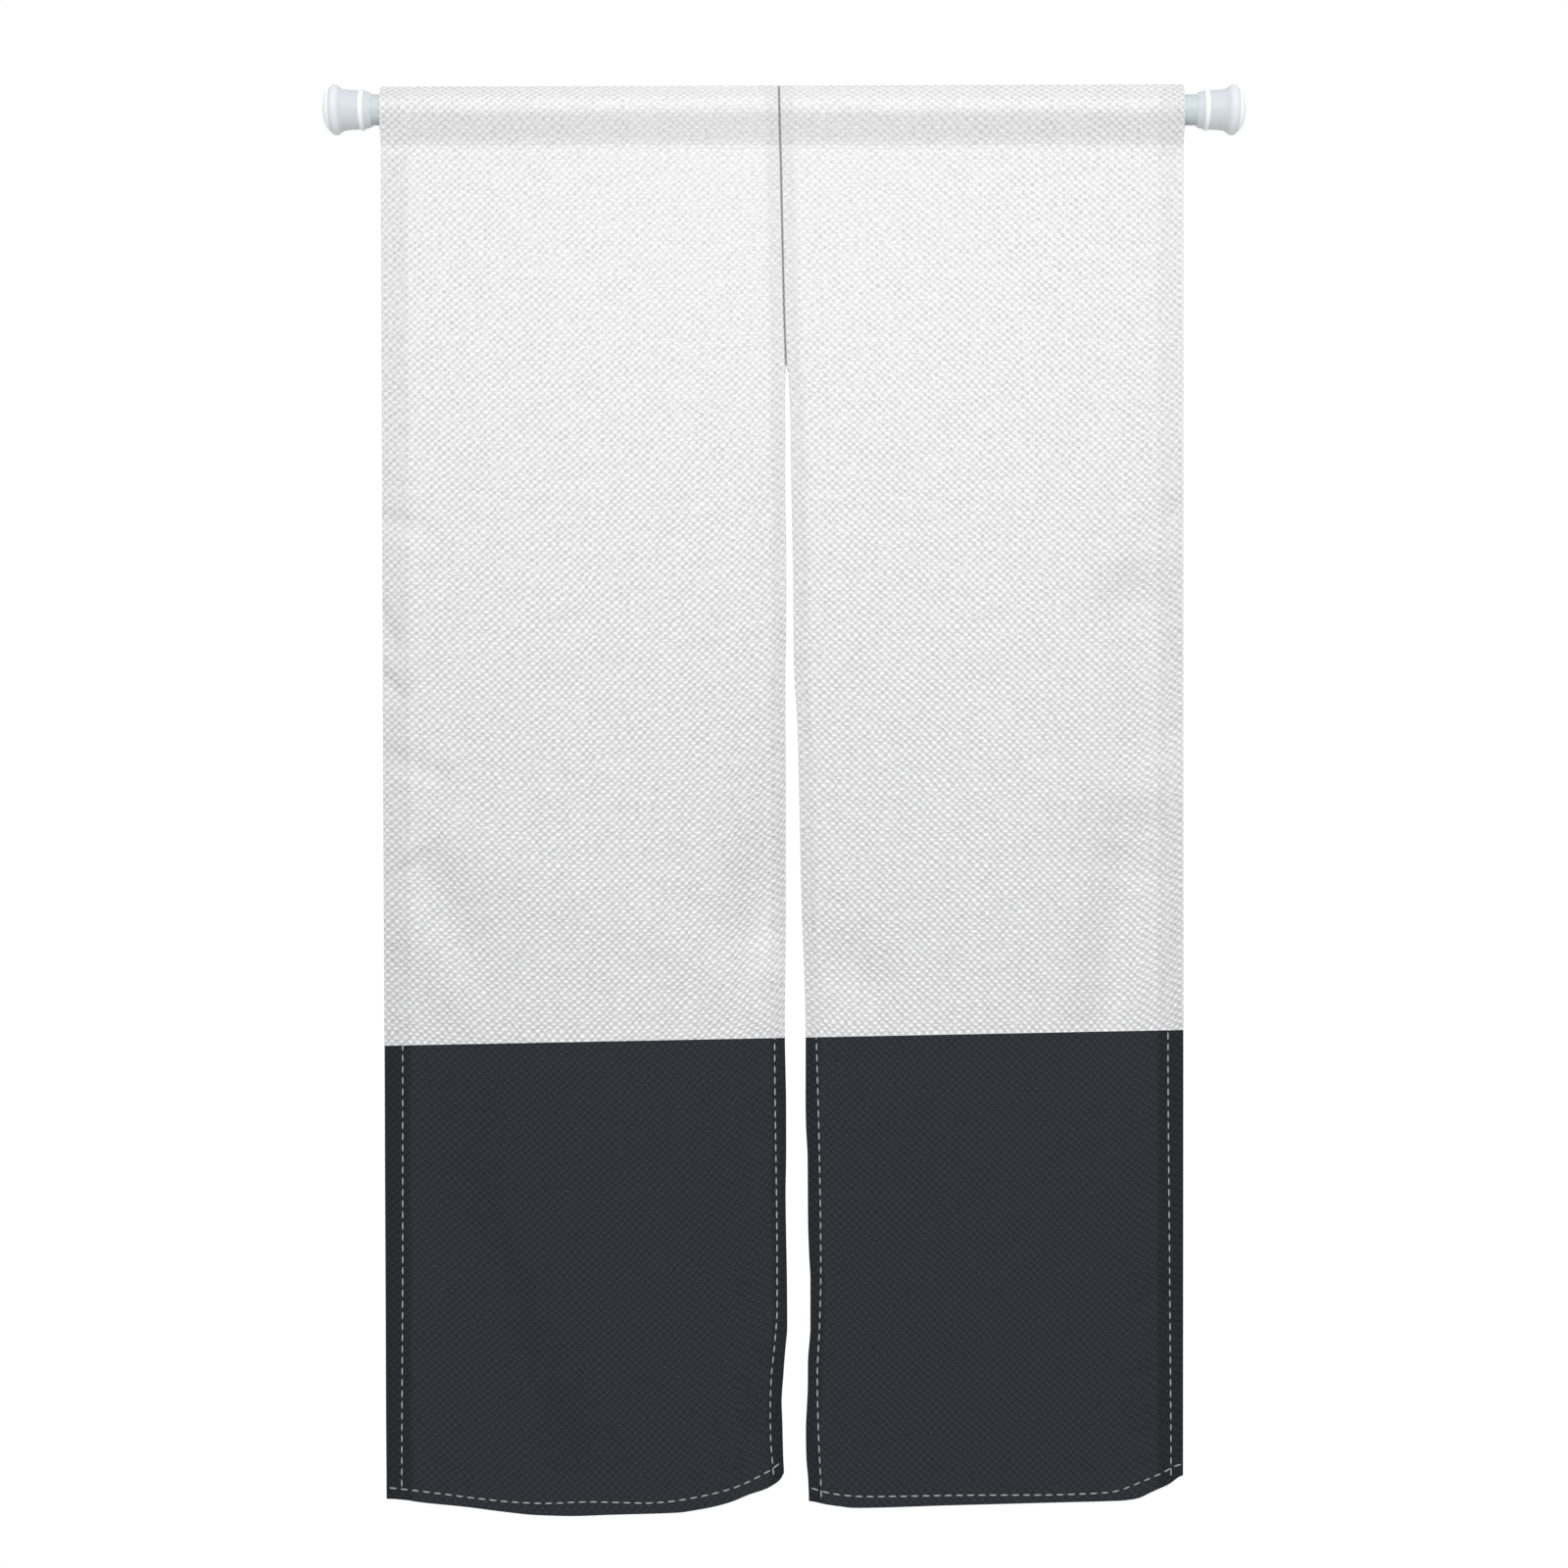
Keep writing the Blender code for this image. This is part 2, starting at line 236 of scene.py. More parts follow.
world = bpy.data.worlds.new("pale_room")
world.use_nodes = True
room = world.node_tree
seen = new_node(room, "LightPath").outputs["Is Camera Ray"]
strength = new_node(room, "Mix", Factor=seen, A=ROOM_LIGHT, B=ROOM_SHOWN).outputs["Result"]
fill(room, room.nodes["Background"], Strength=strength, Color=WHITE)
bpy.context.scene.world = world


def hang_lamp(name, place, power):
    lamp_data = bpy.data.lights.new(name, "AREA")
    lamp_data.shape = "RECTANGLE"
    lamp_data.size, lamp_data.size_y = LAMP_SIZE
    lamp_data.energy = power
    lamp = new_object(name, lamp_data)
    lamp.location = place
    lamp.rotation_euler = (LAMP_AIM - place).to_track_quat("-Z", "Y").to_euler()


hang_lamp("soft_lamp", LAMP_PLACE, LAMP_POWER)
hang_lamp("back_lamp", BACK_LAMP_PLACE, BACK_LAMP_POWER)


def finished_object(name, bm, material=None):
    """Turn a finished bmesh into an object that sits at the origin, shaded smooth."""
    mesh = bpy.data.meshes.new(name)
    bm.to_mesh(mesh)
    bm.free()
    mesh.shade_smooth()
    if material is not None:
        mesh.materials.append(material)
    return new_object(name, mesh)


floor_shape = bmesh.new()
floor_place = Matrix.Translation((SPAN / 2, 0.0, FLOOR_HEIGHT))
bmesh.ops.create_circle(
    floor_shape, cap_ends=True, segments=FLOOR_SIDES, radius=FLOOR_RADIUS, matrix=floor_place,
)
floor_paint, floor_tree, floor_shader = new_material("floor_paint")
fill(floor_tree, floor_shader, Base_Color=FLOOR_COLOUR, Roughness=FLOOR_ROUGHNESS)
floor = finished_object("floor", floor_shape, floor_paint)
print("room, two lamps and a floor %.1f m across" % (2 * FLOOR_RADIUS))

# %% [markdown]
# ## The outline
#
# The outer edges hang nearly straight. The inner ones lean apart along the slit, and the right one leans
# more. Each foot dips in a soft curve and is drawn up at one corner. An edge is a line of places from the top
# down, a foot one from left to right. Smooth curves run through the places. They never swing past one, so a
# straight edge stays straight.

# %% Outline
Place = namedtuple("Place", "z x")
FootPlace = namedtuple("FootPlace", "x z")


def line_down(*places):
    return tuple(Place(*place) for place in places)


def line_across(*places):
    return tuple(FootPlace(*place) for place in places)


LEFT_OUTER_EDGE = line_down(
    (0.026, 0.06), (-0.34, 0.0613), (-0.715, 0.0626), (-1.016, 0.064), (-1.141, 0.0644),
    (-1.265, 0.065), (-1.39, 0.0655), (-1.475, 0.066),
)
LEFT_INNER_EDGE = line_down(
    (0.026, 0.482), (-0.06, 0.484), (-0.2, 0.487), (-0.271, 0.489), (-0.3, 0.4886),
    (-0.409, 0.4888), (-0.463, 0.4897), (-0.54, 0.4898), (-0.605, 0.4888), (-0.7, 0.4893),
    (-0.868, 0.4894), (-0.922, 0.4888), (-0.955, 0.4883), (-0.991, 0.4886), (-1.053, 0.4898),
    (-1.103, 0.4899), (-1.15, 0.4893), (-1.19, 0.4898), (-1.24, 0.4907), (-1.29, 0.491),
    (-1.315, 0.4889), (-1.34, 0.487), (-1.371, 0.4851), (-1.39, 0.4858), (-1.427, 0.4867),
    (-1.446, 0.4875),
)
RIGHT_INNER_EDGE = line_down(
    (0.026, 0.4824), (-0.06, 0.4844), (-0.2, 0.4876), (-0.271, 0.4902), (-0.278, 0.4922),
    (-0.328, 0.4944), (-0.409, 0.4956), (-0.49, 0.4973), (-0.544, 0.4976), (-0.598, 0.4986),
    (-0.652, 0.5018), (-0.733, 0.5038), (-0.814, 0.5055), (-0.868, 0.5071), (-0.922, 0.5093),
    (-0.955, 0.5102), (-0.991, 0.5104), (-1.053, 0.5103), (-1.078, 0.5108), (-1.11, 0.5124),
    (-1.178, 0.5129), (-1.215, 0.5141), (-1.24, 0.5154), (-1.29, 0.5154), (-1.328, 0.5128),
    (-1.353, 0.5126), (-1.402, 0.5106), (-1.427, 0.511), (-1.452, 0.513), (-1.475, 0.5138),
)
RIGHT_OUTER_EDGE = line_down((0.026, 0.9109), (-0.715, 0.9108), (-1.0, 0.911), (-1.475, 0.9107))
LEFT_FOOT = line_across(
    (0.066, -1.473), (0.1135, -1.4777), (0.1509, -1.4814), (0.1883, -1.4862), (0.2257, -1.49),
    (0.2631, -1.491), (0.3005, -1.4898), (0.3753, -1.4874), (0.394, -1.4847), (0.4127, -1.4812),
    (0.4314, -1.476), (0.4501, -1.4683), (0.4688, -1.462), (0.4833, -1.4527), (0.4875, -1.446),
)
RIGHT_FOOT = line_across(
    (0.5138, -1.4755), (0.5291, -1.4782), (0.5457, -1.4806), (0.5623, -1.4824), (0.662, -1.4797),
    (0.7784, -1.4766), (0.8449, -1.4747), (0.8615, -1.4725), (0.8782, -1.4651), (0.8948, -1.458),
    (0.9107, -1.4484),
)
BAND_LEFT = Place(-0.992, 0.0657)
BAND_RIGHT = Place(-0.9754, 0.9083)
MIDDLE_HEIGHT = -0.7


def slope_at(places, heights, i):
    if i == 0 or i == len(places) - 1:
        return 0.0
    before = (heights[i] - heights[i - 1]) / (places[i] - places[i - 1])
    after = (heights[i + 1] - heights[i]) / (places[i + 1] - places[i])
    if before * after <= 0.0:
        return 0.0
    return 2.0 * before * after / (before + after)


def smooth_through(places, heights, at):
    """Value at one place on the smooth curve through points whose places rise."""
    if at <= places[0]:
        return heights[0]
    if at >= places[-1]:
        return heights[-1]
    i = max(k for k in range(len(places) - 1) if places[k] <= at)
    width = places[i + 1] - places[i]
    t = (at - places[i]) / width
    start_slope = slope_at(places, heights, i) * width
    end_slope = slope_at(places, heights, i + 1) * width
    rise = heights[i + 1] - heights[i]
    bend = 3.0 * rise - 2.0 * start_slope - end_slope
    twist = start_slope + end_slope - 2.0 * rise
    return heights[i] + t * (start_slope + t * (bend + t * twist))


def line_x(line, z):
    """Where a line that runs down the cloth stands at one height."""
    return smooth_through([-place.z for place in line], [place.x for place in line], -z)


def foot_z(foot, x):
    return smooth_through([place.x for place in foot], [place.z for place in foot], x)


def height_above_band(x, z):
    share = (x - BAND_LEFT.x) / (BAND_RIGHT.x - BAND_LEFT.x)
    return z - BAND_LEFT.z - (BAND_RIGHT.z - BAND_LEFT.z) * share


middle_width = line_x(LEFT_INNER_EDGE, MIDDLE_HEIGHT) - line_x(LEFT_OUTER_EDGE, MIDDLE_HEIGHT)
print("left panel hangs %.3f m wide" % middle_width)

# %% [markdown]
# ## The folds
#
# The cloth hangs nearly flat. Each panel bellies forward, its side hems curl back, and small puckers and
# elbows cross the hems where the cloth was folded or drawn in by its stitches. A fold is a soft trough or
# ridge along a straight line: depth is how far it lies behind (above 0) or in front of (below 0) the rod's
# axis, spread how wide it is, and gather over what share of its length it comes in.

# %% Folds
Fold = namedtuple("Fold", "name x_top z_top x_foot z_foot spread depth gather")

LEFT_FOLDS = (
    Fold("belly", 0.27, -0.1, 0.335, -1.56, 0.135, -0.017, 0.75),
    Fold("outer edge", 0.055, -0.2, 0.055, -1.56, 0.085, 0.011, 0.45),
    Fold("turned inner edge", 0.5, -0.56, 0.47, -0.862, 0.044, 0.022, 0.85),
    Fold("crest", 0.103, -0.756, 0.415, -0.907, 0.034, -0.003, 0.1),
    Fold("gully", 0.093, -0.787, 0.15, -0.881, 0.032, 0.006, 0.1),
    Fold("sweep", 0.111, -1.1, 0.245, -1.43, 0.048, 0.011, 0.3),
    Fold("knee", 0.488, -1.345, 0.478, -1.388, 0.032, 0.008, 0.0),
    Fold("drawn corner", 0.49, -1.44, 0.44, -1.5, 0.05, 0.013, 0.0),
    Fold("upper pucker", 0.055, -0.432, 0.105, -0.446, 0.011, 0.004, 0.0),
    Fold("edge pucker", 0.062, -0.535, 0.074, -0.565, 0.011, 0.005, 0.0),
    Fold("second edge pucker", 0.062, -0.6, 0.08, -0.62, 0.01, 0.005, 0.0),
    Fold("lower pucker", 0.06, -0.681, 0.12, -0.706, 0.012, 0.004, 0.0),
    Fold("outer branch", 0.064, -0.876, 0.116, -0.965, 0.024, 0.003, 0.2),
    Fold("inner branch", 0.092, -0.778, 0.164, -0.925, 0.022, 0.0025, 0.3),
    Fold("inner hollow", 0.488, -0.74, 0.462, -0.862, 0.034, 0.009, 0.8),
    Fold("low corner", 0.04, -1.0, 0.125, -1.11, 0.095, 0.018, 0.0),
)
RIGHT_FOLDS = (
    Fold("belly", 0.69, -0.1, 0.68, -1.56, 0.125, -0.016, 0.75),
    Fold("outer edge", 0.912, -0.2, 0.912, -1.56, 0.062, 0.012, 0.6),
    Fold("shoulder", 0.856, -0.47, 0.88, -0.66, 0.042, 0.008, 0.3),
    Fold("waist", 0.858, -0.715, 0.834, -0.985, 0.044, 0.01, 0.2),
    Fold("crook", 0.778, -0.793, 0.83, -0.793, 0.028, 0.002, 0.0),
    Fold("inner dip", 0.522, -0.866, 0.575, -0.925, 0.03, 0.009, 0.7),
    Fold("low side", 0.882, -1.262, 0.868, -1.392, 0.036, 0.008, 0.0),
    Fold("drawn corner", 0.912, -1.43, 0.88, -1.49, 0.042, 0.012, 0.0),
    Fold("upper elbow", 0.905, -0.403, 0.865, -0.496, 0.032, 0.004, 0.3),
    Fold("lower elbow", 0.864, -0.535, 0.91, -0.645, 0.044, 0.009, 0.0),
    Fold("low band", 0.854, -0.767, 0.82, -0.964, 0.024, 0.007, 0.2),
)
FOLD_START = -0.05
FOLD_FULL = -0.18


def ease(value):
    """Smooth step from 0 at 0 to 1 at 1."""
    value = min(1.0, max(0.0, value))
    return value * value * (3.0 - 2.0 * value)


def fold_depth(fold, x, z):
    run_x = fold.x_foot - fold.x_top
    run_z = fold.z_foot - fold.z_top
    along = ((x - fold.x_top) * run_x + (z - fold.z_top) * run_z) / (run_x ** 2 + run_z ** 2)
    along = min(1.0, max(0.0, along))
    away = math.hypot(x - fold.x_top - along * run_x, z - fold.z_top - along * run_z)
    strength = ease(along / fold.gather) if fold.gather > 0.0 else 1.0
    return fold.depth * strength * math.exp(-(away / fold.spread) ** 2)


def relief(folds, x, z):
    """How far the cloth lies behind the rod's axis. The rod keeps it straight at the pocket."""
    total = sum(fold_depth(fold, x, z) for fold in folds)
    return total * ease((FOLD_START - z) / (FOLD_START - FOLD_FULL))


def set_back(x, y, z, back):
    """Move a point back with the folds. The outline is right as seen, so what lies back spreads a little."""
    spread = 1.0 + back / VIEW_DISTANCE
    return Vector((
        VIEW_CENTRE.x + (x - VIEW_CENTRE.x) * spread,
        y + back,
        VIEW_CENTRE.z + (z - VIEW_CENTRE.z) * spread,
    ))


print("%d folds on the left panel, %d on the right" % (len(LEFT_FOLDS), len(RIGHT_FOLDS)))

# %% [markdown]
# ## The pocket
#
# Seen from the end, the pocket is a drop: the cloth rises from the stitch line, wraps the rod and meets in a
# crease above it. The path of its middle line starts at the raw edge of the flap behind, goes up the back,
# over the crease and down the front to the stitch line. Straight runs and arcs give the points, and a few
# rounds of averaging soften the corners as cloth would.

# %% Path of the pocket
CLOTH = 0.0009
LAYER = 0.00115
FIT_GAP = 0.0003
POCKET_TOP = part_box("panel_left")[1].z
POCKET_MEET = -0.0375
POCKET_SEAM = -0.04
POCKET_FLAP = 0.007
TOP_TILT = 0.003
CREASE_RADIUS = 0.0019
ARC_STEPS = 22
WALL_STEPS = 12
CREASE_STEPS = 4
FLAP_STEPS = 10
SOFTEN_ROUNDS = 5

PathPoint = namedtuple("PathPoint", "y z behind")
PocketPoint = namedtuple("PocketPoint", "y z behind in_y in_z")


def pocket_front():
    """Front half of the path from where the walls meet up to the crease, as (y, z)."""
    around = ROD_RADIUS + FIT_GAP + CLOTH / 2 + LAYER
    crease_low = POCKET_TOP - CLOTH / 2 - CREASE_RADIUS
    lower_angle = math.acos(around / -POCKET_MEET)
    upper_angle = math.acos((around - CREASE_RADIUS) / crease_low)
    start = -math.pi / 2 + lower_angle
    end = math.pi / 2 - upper_angle
    touch_y = -around * math.cos(start)
    touch_z = around * math.sin(start)
    points = []
    for i in range(WALL_STEPS):
        share = i / WALL_STEPS
        points.append((touch_y * share, POCKET_MEET + (touch_z - POCKET_MEET) * share))
    for i in range(ARC_STEPS + 1):
        angle = start + (end - start) * i / ARC_STEPS
        points.append((-around * math.cos(angle), around * math.sin(angle)))
    for i in range(CREASE_STEPS):
        angle = end + (math.pi / 2 - end) * i / CREASE_STEPS
        points.append((-CREASE_RADIUS * math.cos(angle), crease_low + CREASE_RADIUS * math.sin(angle)))
    return points, touch_z


def soften(path):
    """Round the corners of a path by moving each point towards the middle of its neighbours."""
    middle = []
    for before, point, after in zip(path, path[1:], path[2:]):
        middle.append(PathPoint(*((a + 2 * b + c) / 4 for a, b, c in zip(before, point, after))))
    return [path[0]] + middle + [path[-1]]


def pocket_path():
    """The whole path from the flap's raw edge, up the back and down the front to just above the seam."""
    front, touch_z = pocket_front()
    flap_end = POCKET_SEAM - POCKET_FLAP
    path = []
    for i in range(FLAP_STEPS):
        path.append(PathPoint(0.0, flap_end + (POCKET_MEET - flap_end) * i / FLAP_STEPS, 1.0))
    for y, z in front:
        behind = min(1.0, max(0.0, (touch_z - z) / (touch_z - POCKET_MEET)))
        path.append(PathPoint(-y, z, behind))
    path.append(PathPoint(0.0, POCKET_TOP - CLOTH / 2, 0.0))
    path += [PathPoint(y, z, 0.0) for y, z in reversed(front)]
    for i in range(1, FLAP_STEPS):
        path.append(PathPoint(0.0, POCKET_MEET + (flap_end - POCKET_MEET) * i / FLAP_STEPS, 0.0))
    for _ in range(SOFTEN_ROUNDS):
        path = soften(path)
    return path


def with_directions(path):
    """Add the direction of the wrong side, a quarter turn from the way that the path runs."""
    points = []
    for i, point in enumerate(path):
        before = path[max(0, i - 1)]
        after = path[min(len(path) - 1, i + 1)]
        run_y = after.y - before.y
        run_z = after.z - before.z
        length = math.hypot(run_y, run_z)
        points.append(PocketPoint(*point, -run_z / length, run_y / length))
    return points


POCKET = with_directions(pocket_path())
pocket_length = sum(math.hypot(b.y - a.y, b.z - a.z) for a, b in zip(POCKET, POCKET[1:]))
print("the pocket takes %.0f mm of cloth in %d steps" % (pocket_length * 1000, len(POCKET)))

# %% [markdown]
# ## Rows and columns of a panel
#
# A panel starts as a flat grid, the piece of cloth as it was cut, and each of its points is then carried to
# where it hangs. Rows run across: through the pocket, down the front, round the fold at the foot and up the
# turned hem. Columns run down: from the raw edge of one side hem, round its fold, over the front and round
# the other fold. Close rows and columns lie only where the cloth bends, so the grid stays light.

# %% Rows and columns
OUTER_HEM = 0.0245
INNER_HEM = 0.012
FOOT_HEM = 0.014
FOOT_ZONE = 0.019
CORNER_RAMP = 0.007
HEM_COLUMNS = 6
SEAM_MARGIN = 0.0007
SEAM_REACH = 0.0011
SLIT_HEAD = -0.27
SLIT_OPENS = 0.005
BODY_COLUMNS = 66
BODY_ROWS = 285
FOOT_HEIGHTS = (
    0.019, 0.0172, 0.0155, 0.0145, 0.0135, 0.0122, 0.011, 0.0097, 0.008, 0.006, 0.004, 0.0027,
)
HEM_HEIGHTS = (0.0027, 0.0045, 0.0065, 0.0085, 0.0105, 0.0115, 0.0125, FOOT_HEM)
TURN_STEPS = 6
HEM_STACK = 3.0
FOOT_ROUNDS = 3

Row = namedtuple("Row", "part at")
Column = namedtuple("Column", "side shift share layer")
Panel = namedtuple("Panel", "name seam_side left_edge right_edge left_hem right_hem foot folds")

PANELS = (
    Panel(
        "panel_left", 1, LEFT_OUTER_EDGE, LEFT_INNER_EDGE, OUTER_HEM, INNER_HEM, LEFT_FOOT, LEFT_FOLDS,
    ),
    Panel(
        "panel_right", -1, RIGHT_INNER_EDGE, RIGHT_OUTER_EDGE, INNER_HEM, OUTER_HEM, RIGHT_FOOT, RIGHT_FOLDS,
    ),
)


def rows_of():
    rows = [Row("pocket", i) for i in range(len(POCKET))]
    rows += [Row("body", i / BODY_ROWS) for i in range(1, BODY_ROWS)]
    rows += [Row("foot", height) for height in FOOT_HEIGHTS]
    rows += [Row("turn", math.pi * i / TURN_STEPS) for i in range(TURN_STEPS + 1)]
    rows += [Row("hem", height) for height in HEM_HEIGHTS]
    return rows


def hem_columns(side, hem):
    """Columns of one side hem, from its raw edge behind, round the fold and back over the front."""
    radius = LAYER / 2
    inset = CLOTH / 2 + radius
    columns = []
    for i in range(HEM_COLUMNS):
        columns.append(Column(side, hem + (inset - hem) * i / HEM_COLUMNS, 0.0, 1.0))
    for i in range(TURN_STEPS + 1):
        angle = math.pi * (1.0 - i / TURN_STEPS)
        columns.append(Column(side, inset - radius * math.sin(angle), 0.0, (1.0 - math.cos(angle)) / 2))
    columns.append(Column(side, inset + SEAM_MARGIN, 0.0, 0.0))
    for i in range(1, HEM_COLUMNS + 1):
        columns.append(Column(side, inset + (hem - inset) * i / HEM_COLUMNS, 0.0, 0.0))
    return columns


def columns_of(panel):
    columns = hem_columns(-1, panel.left_hem)
    columns += [Column(0, 0.0, i / BODY_COLUMNS, 0.0) for i in range(1, BODY_COLUMNS)]
    columns += reversed(hem_columns(1, panel.right_hem))
    return columns


print("%d rows, %d columns" % (len(rows_of()), len(columns_of(PANELS[0]))))

# %% [markdown]
# ## Where a row and a column hang
#
# Above the slit the middle edges of the panels touch and press on each other. Below, a column keeps its
# share of the width between the hems. Where a side hem and the foot hem cross, four layers lie on each
# other, so stack says how many layers fit between front and hem.

# %% Places on a hanging panel


def seam_closing(z):
    """The panels touch along their seam, and part at the head of the slit."""
    return 1.0 - ease((SLIT_HEAD - z) / SLIT_OPENS)


def seam_shade_at(panel, column, z):
    """Painted shade in the seam: 1 where the folded edges press on each other along the seam, 0 elsewhere."""
    if column.side != panel.seam_side or column.shift > SEAM_REACH:
        return 0.0
    return seam_closing(z)


def edges_of(panel, z):
    """Left and right edge of a panel at one height. Above the slit the middle edges touch."""
    left = line_x(panel.left_edge, z)
    right = line_x(panel.right_edge, z)
    half_gap = (line_x(RIGHT_INNER_EDGE, z) - line_x(LEFT_INNER_EDGE, z)) / 2
    if panel.seam_side > 0:
        return left, right + half_gap * seam_closing(z)
    return left - half_gap * seam_closing(z), right


def column_x(panel, column, z):
    left, right = edges_of(panel, z)
    if column.side < 0:
        return left + column.shift
    if column.side > 0:
        return right - column.shift
    left += panel.left_hem
    right -= panel.right_hem
    return left + (right - left) * column.share


def column_foot(panel, column):
    """How low a column reaches. It leans as it falls, so its foot is found in a few steps."""
    low = panel.foot[0].z
    for _ in range(FOOT_ROUNDS):
        low = foot_z(panel.foot, column_x(panel, column, low))
    return low


def column_stack(panel, column, z):
    """How many layers fit between front and hem: three over a side hem, one elsewhere."""
    if column.side != 0:
        return HEM_STACK
    left, right = edges_of(panel, z)
    x = column_x(panel, column, z)
    from_hem = min(x - left - panel.left_hem, right - panel.right_hem - x)
    return HEM_STACK - (HEM_STACK - 1.0) * ease(from_hem / CORNER_RAMP)


def stand(row, stack, low):
    """Where the cloth's middle lies at one row of a column: y, z and the direction of its wrong side."""
    gap = stack * LAYER
    if row.part == "pocket":
        point = POCKET[row.at]
        return point.y + point.behind * gap, point.z, point.in_y, point.in_z
    if row.part == "body":
        start = POCKET[-1].z
        return 0.0, start + (low + FOOT_ZONE - start) * row.at, 1.0, 0.0
    if row.part == "foot":
        return 0.0, low + row.at, 1.0, 0.0
    if row.part == "turn":
        radius = gap / 2
        middle = low + CLOTH / 2 + radius
        in_y, in_z = math.cos(row.at), math.sin(row.at)
        return radius - radius * in_y, middle - radius * in_z, in_y, in_z
    return gap, low + row.at, -1.0, 0.0


print("the left panel ends at x = %.4f m at the slit's head" % edges_of(PANELS[0], SLIT_HEAD)[1])

# %% [markdown]
# ## Plain weave
#
# In a plain weave each thread goes over one and under the next, so raised and sunk spots alternate as on a
# draughtboard. Two waves that cross at a slant make that board: their sum is high on the spots where a
# thread comes up, and low on those between. Where one wave is stronger, the spots run together in slanting
# lines, as they do where the cloth is pulled a little askew. Noise bends the rows. It is drawn out along the
# threads, as a thread wanders slowly along its length. A number of its own makes each spot thicker or
# thinner, as spun yarn is.

# %% Weave group
THREAD_STRAIGHTNESS = 0.3
UPRIGHT_SCALE = 55.0
LEVEL_SCALE = 60.0
WANDER_DETAIL = 4.0
LEVEL_LAYER = 3.0


def count_threads(group, place, threads, scale, width, wander):
    """Threads counted from the panel's edge. Noise that is drawn out along them bends the count."""
    noise = cloudy(group, threads, scale, WANDER_DETAIL)
    bend = times(group, maths(group, "SUBTRACT", noise, 0.5), wander)
    return maths(group, "ADD", maths(group, "DIVIDE", place, width), bend)


def make_weave_group():
    numbers = tuple((name, "Float") for name in ("Across", "Down", "Slant", "Wander"))
    inputs = (("Place", "Vector"), *numbers)
    group, given, result = new_group("plain_weave", inputs, ("Rise", "Yarn", "Rows"))
    x, y, _ = parts_of(group, given["Place"])
    upright_threads = vector_of(group, x, times(group, y, THREAD_STRAIGHTNESS), 0.0)
    level_threads = vector_of(group, times(group, x, THREAD_STRAIGHTNESS), y, LEVEL_LAYER)
    wander = given["Wander"]
    across = count_threads(group, x, upright_threads, UPRIGHT_SCALE, given["Across"], wander)
    down = count_threads(group, y, level_threads, LEVEL_SCALE, given["Down"], wander)
    apart = maths(group, "SUBTRACT", across, down)
    together = maths(group, "ADD", across, down)
    rising = maths(group, "COSINE", times(group, apart, math.pi))
    falling = maths(group, "COSINE", times(group, together, math.pi))
    rising_share = maths(group, "ADD", 0.5, given["Slant"])
    falling_share = maths(group, "SUBTRACT", 0.5, given["Slant"])
    falling_part = times(group, falling, falling_share)
    rise = maths(group, "SUBTRACT", times(group, rising, rising_share), falling_part)
    crossing = vector_of(group, maths(group, "FLOOR", across), maths(group, "FLOOR", down), 0.0)
    spot = new_node(group, "TexWhiteNoise", Vector=crossing)
    spot.noise_dimensions = "2D"
    plug(group, result["Rise"], rise)
    plug(group, result["Yarn"], spot.outputs["Value"])
    plug(group, result["Rows"], maths(group, "COSINE", times(group, down, 2.0 * math.pi)))
    return group


weave_group = make_weave_group()
print("weave group:", len(weave_group.nodes), "nodes")

# %% [markdown]
# ## The cloth's finish
#
# The cloth is off-white with a slate band dyed along the foot, whose edge rises a little to the right across
# both panels. Each point of the cloth carries how far above that edge it hangs. The edge has a fine rim where
# the dye stops.
#
# Sunk spots of the weave are painted darker than raised ones, a painted shade for the light that the raised
# threads keep out, and a bump lifts the raised ones into the light. The weave opens towards the foot, where
# the cloth hangs loose, and there its raised spots are painted lighter, a painted highlight for the lamp's
# light that falls at more of a slant. It is smoothest high in the middle, where the rod stretches it.
# Patches, long streaks and short slubs keep it uneven. Where the cloth lies double in a hem, and on the
# pocket above and below the rod, it takes a painted shade for the light from behind that the second layer and
# the rod keep out, and it takes a painted shade too where the two panels press on each other.

# %% Cloth
THREAD_ACROSS = 0.0044
THREAD_DOWN = 0.0041
WEAVE_WANDER = 1.7
WEAVE_HEIGHT = 0.0006
FLAT_HIGH = 0.5
YARN_LEAST = 0.55
YARN_SPREAD = 0.9
ROW_SHARE = -0.14
OPEN_HIGH = -0.05
OPEN_LOW = -0.98
SUNK_LIMIT = (-0.95, -0.38)
RAISED_LIMIT = (0.55, 0.62)
PATCH_SCALE = 34.0
PATCH_LEAST = 0.85
PATCH_MOST = 1.12
SMOOTH_CENTRE = 0.44
SMOOTH_REACH = 0.42
SMOOTH_HIGH = -0.02
SMOOTH_LOW = -0.6
SMOOTH_LEAST = 0.52
SMOOTH_MOST = 1.12
Tone = namedtuple("Tone", "length scale darkest lightest")
STREAK = Tone(0.22, 90.0, 0.983, 1.012)
SLUB = Tone(0.45, 420.0, 0.905, 1.08)
BAND_SHARP = 0.0003
BAND_RIM = 0.002
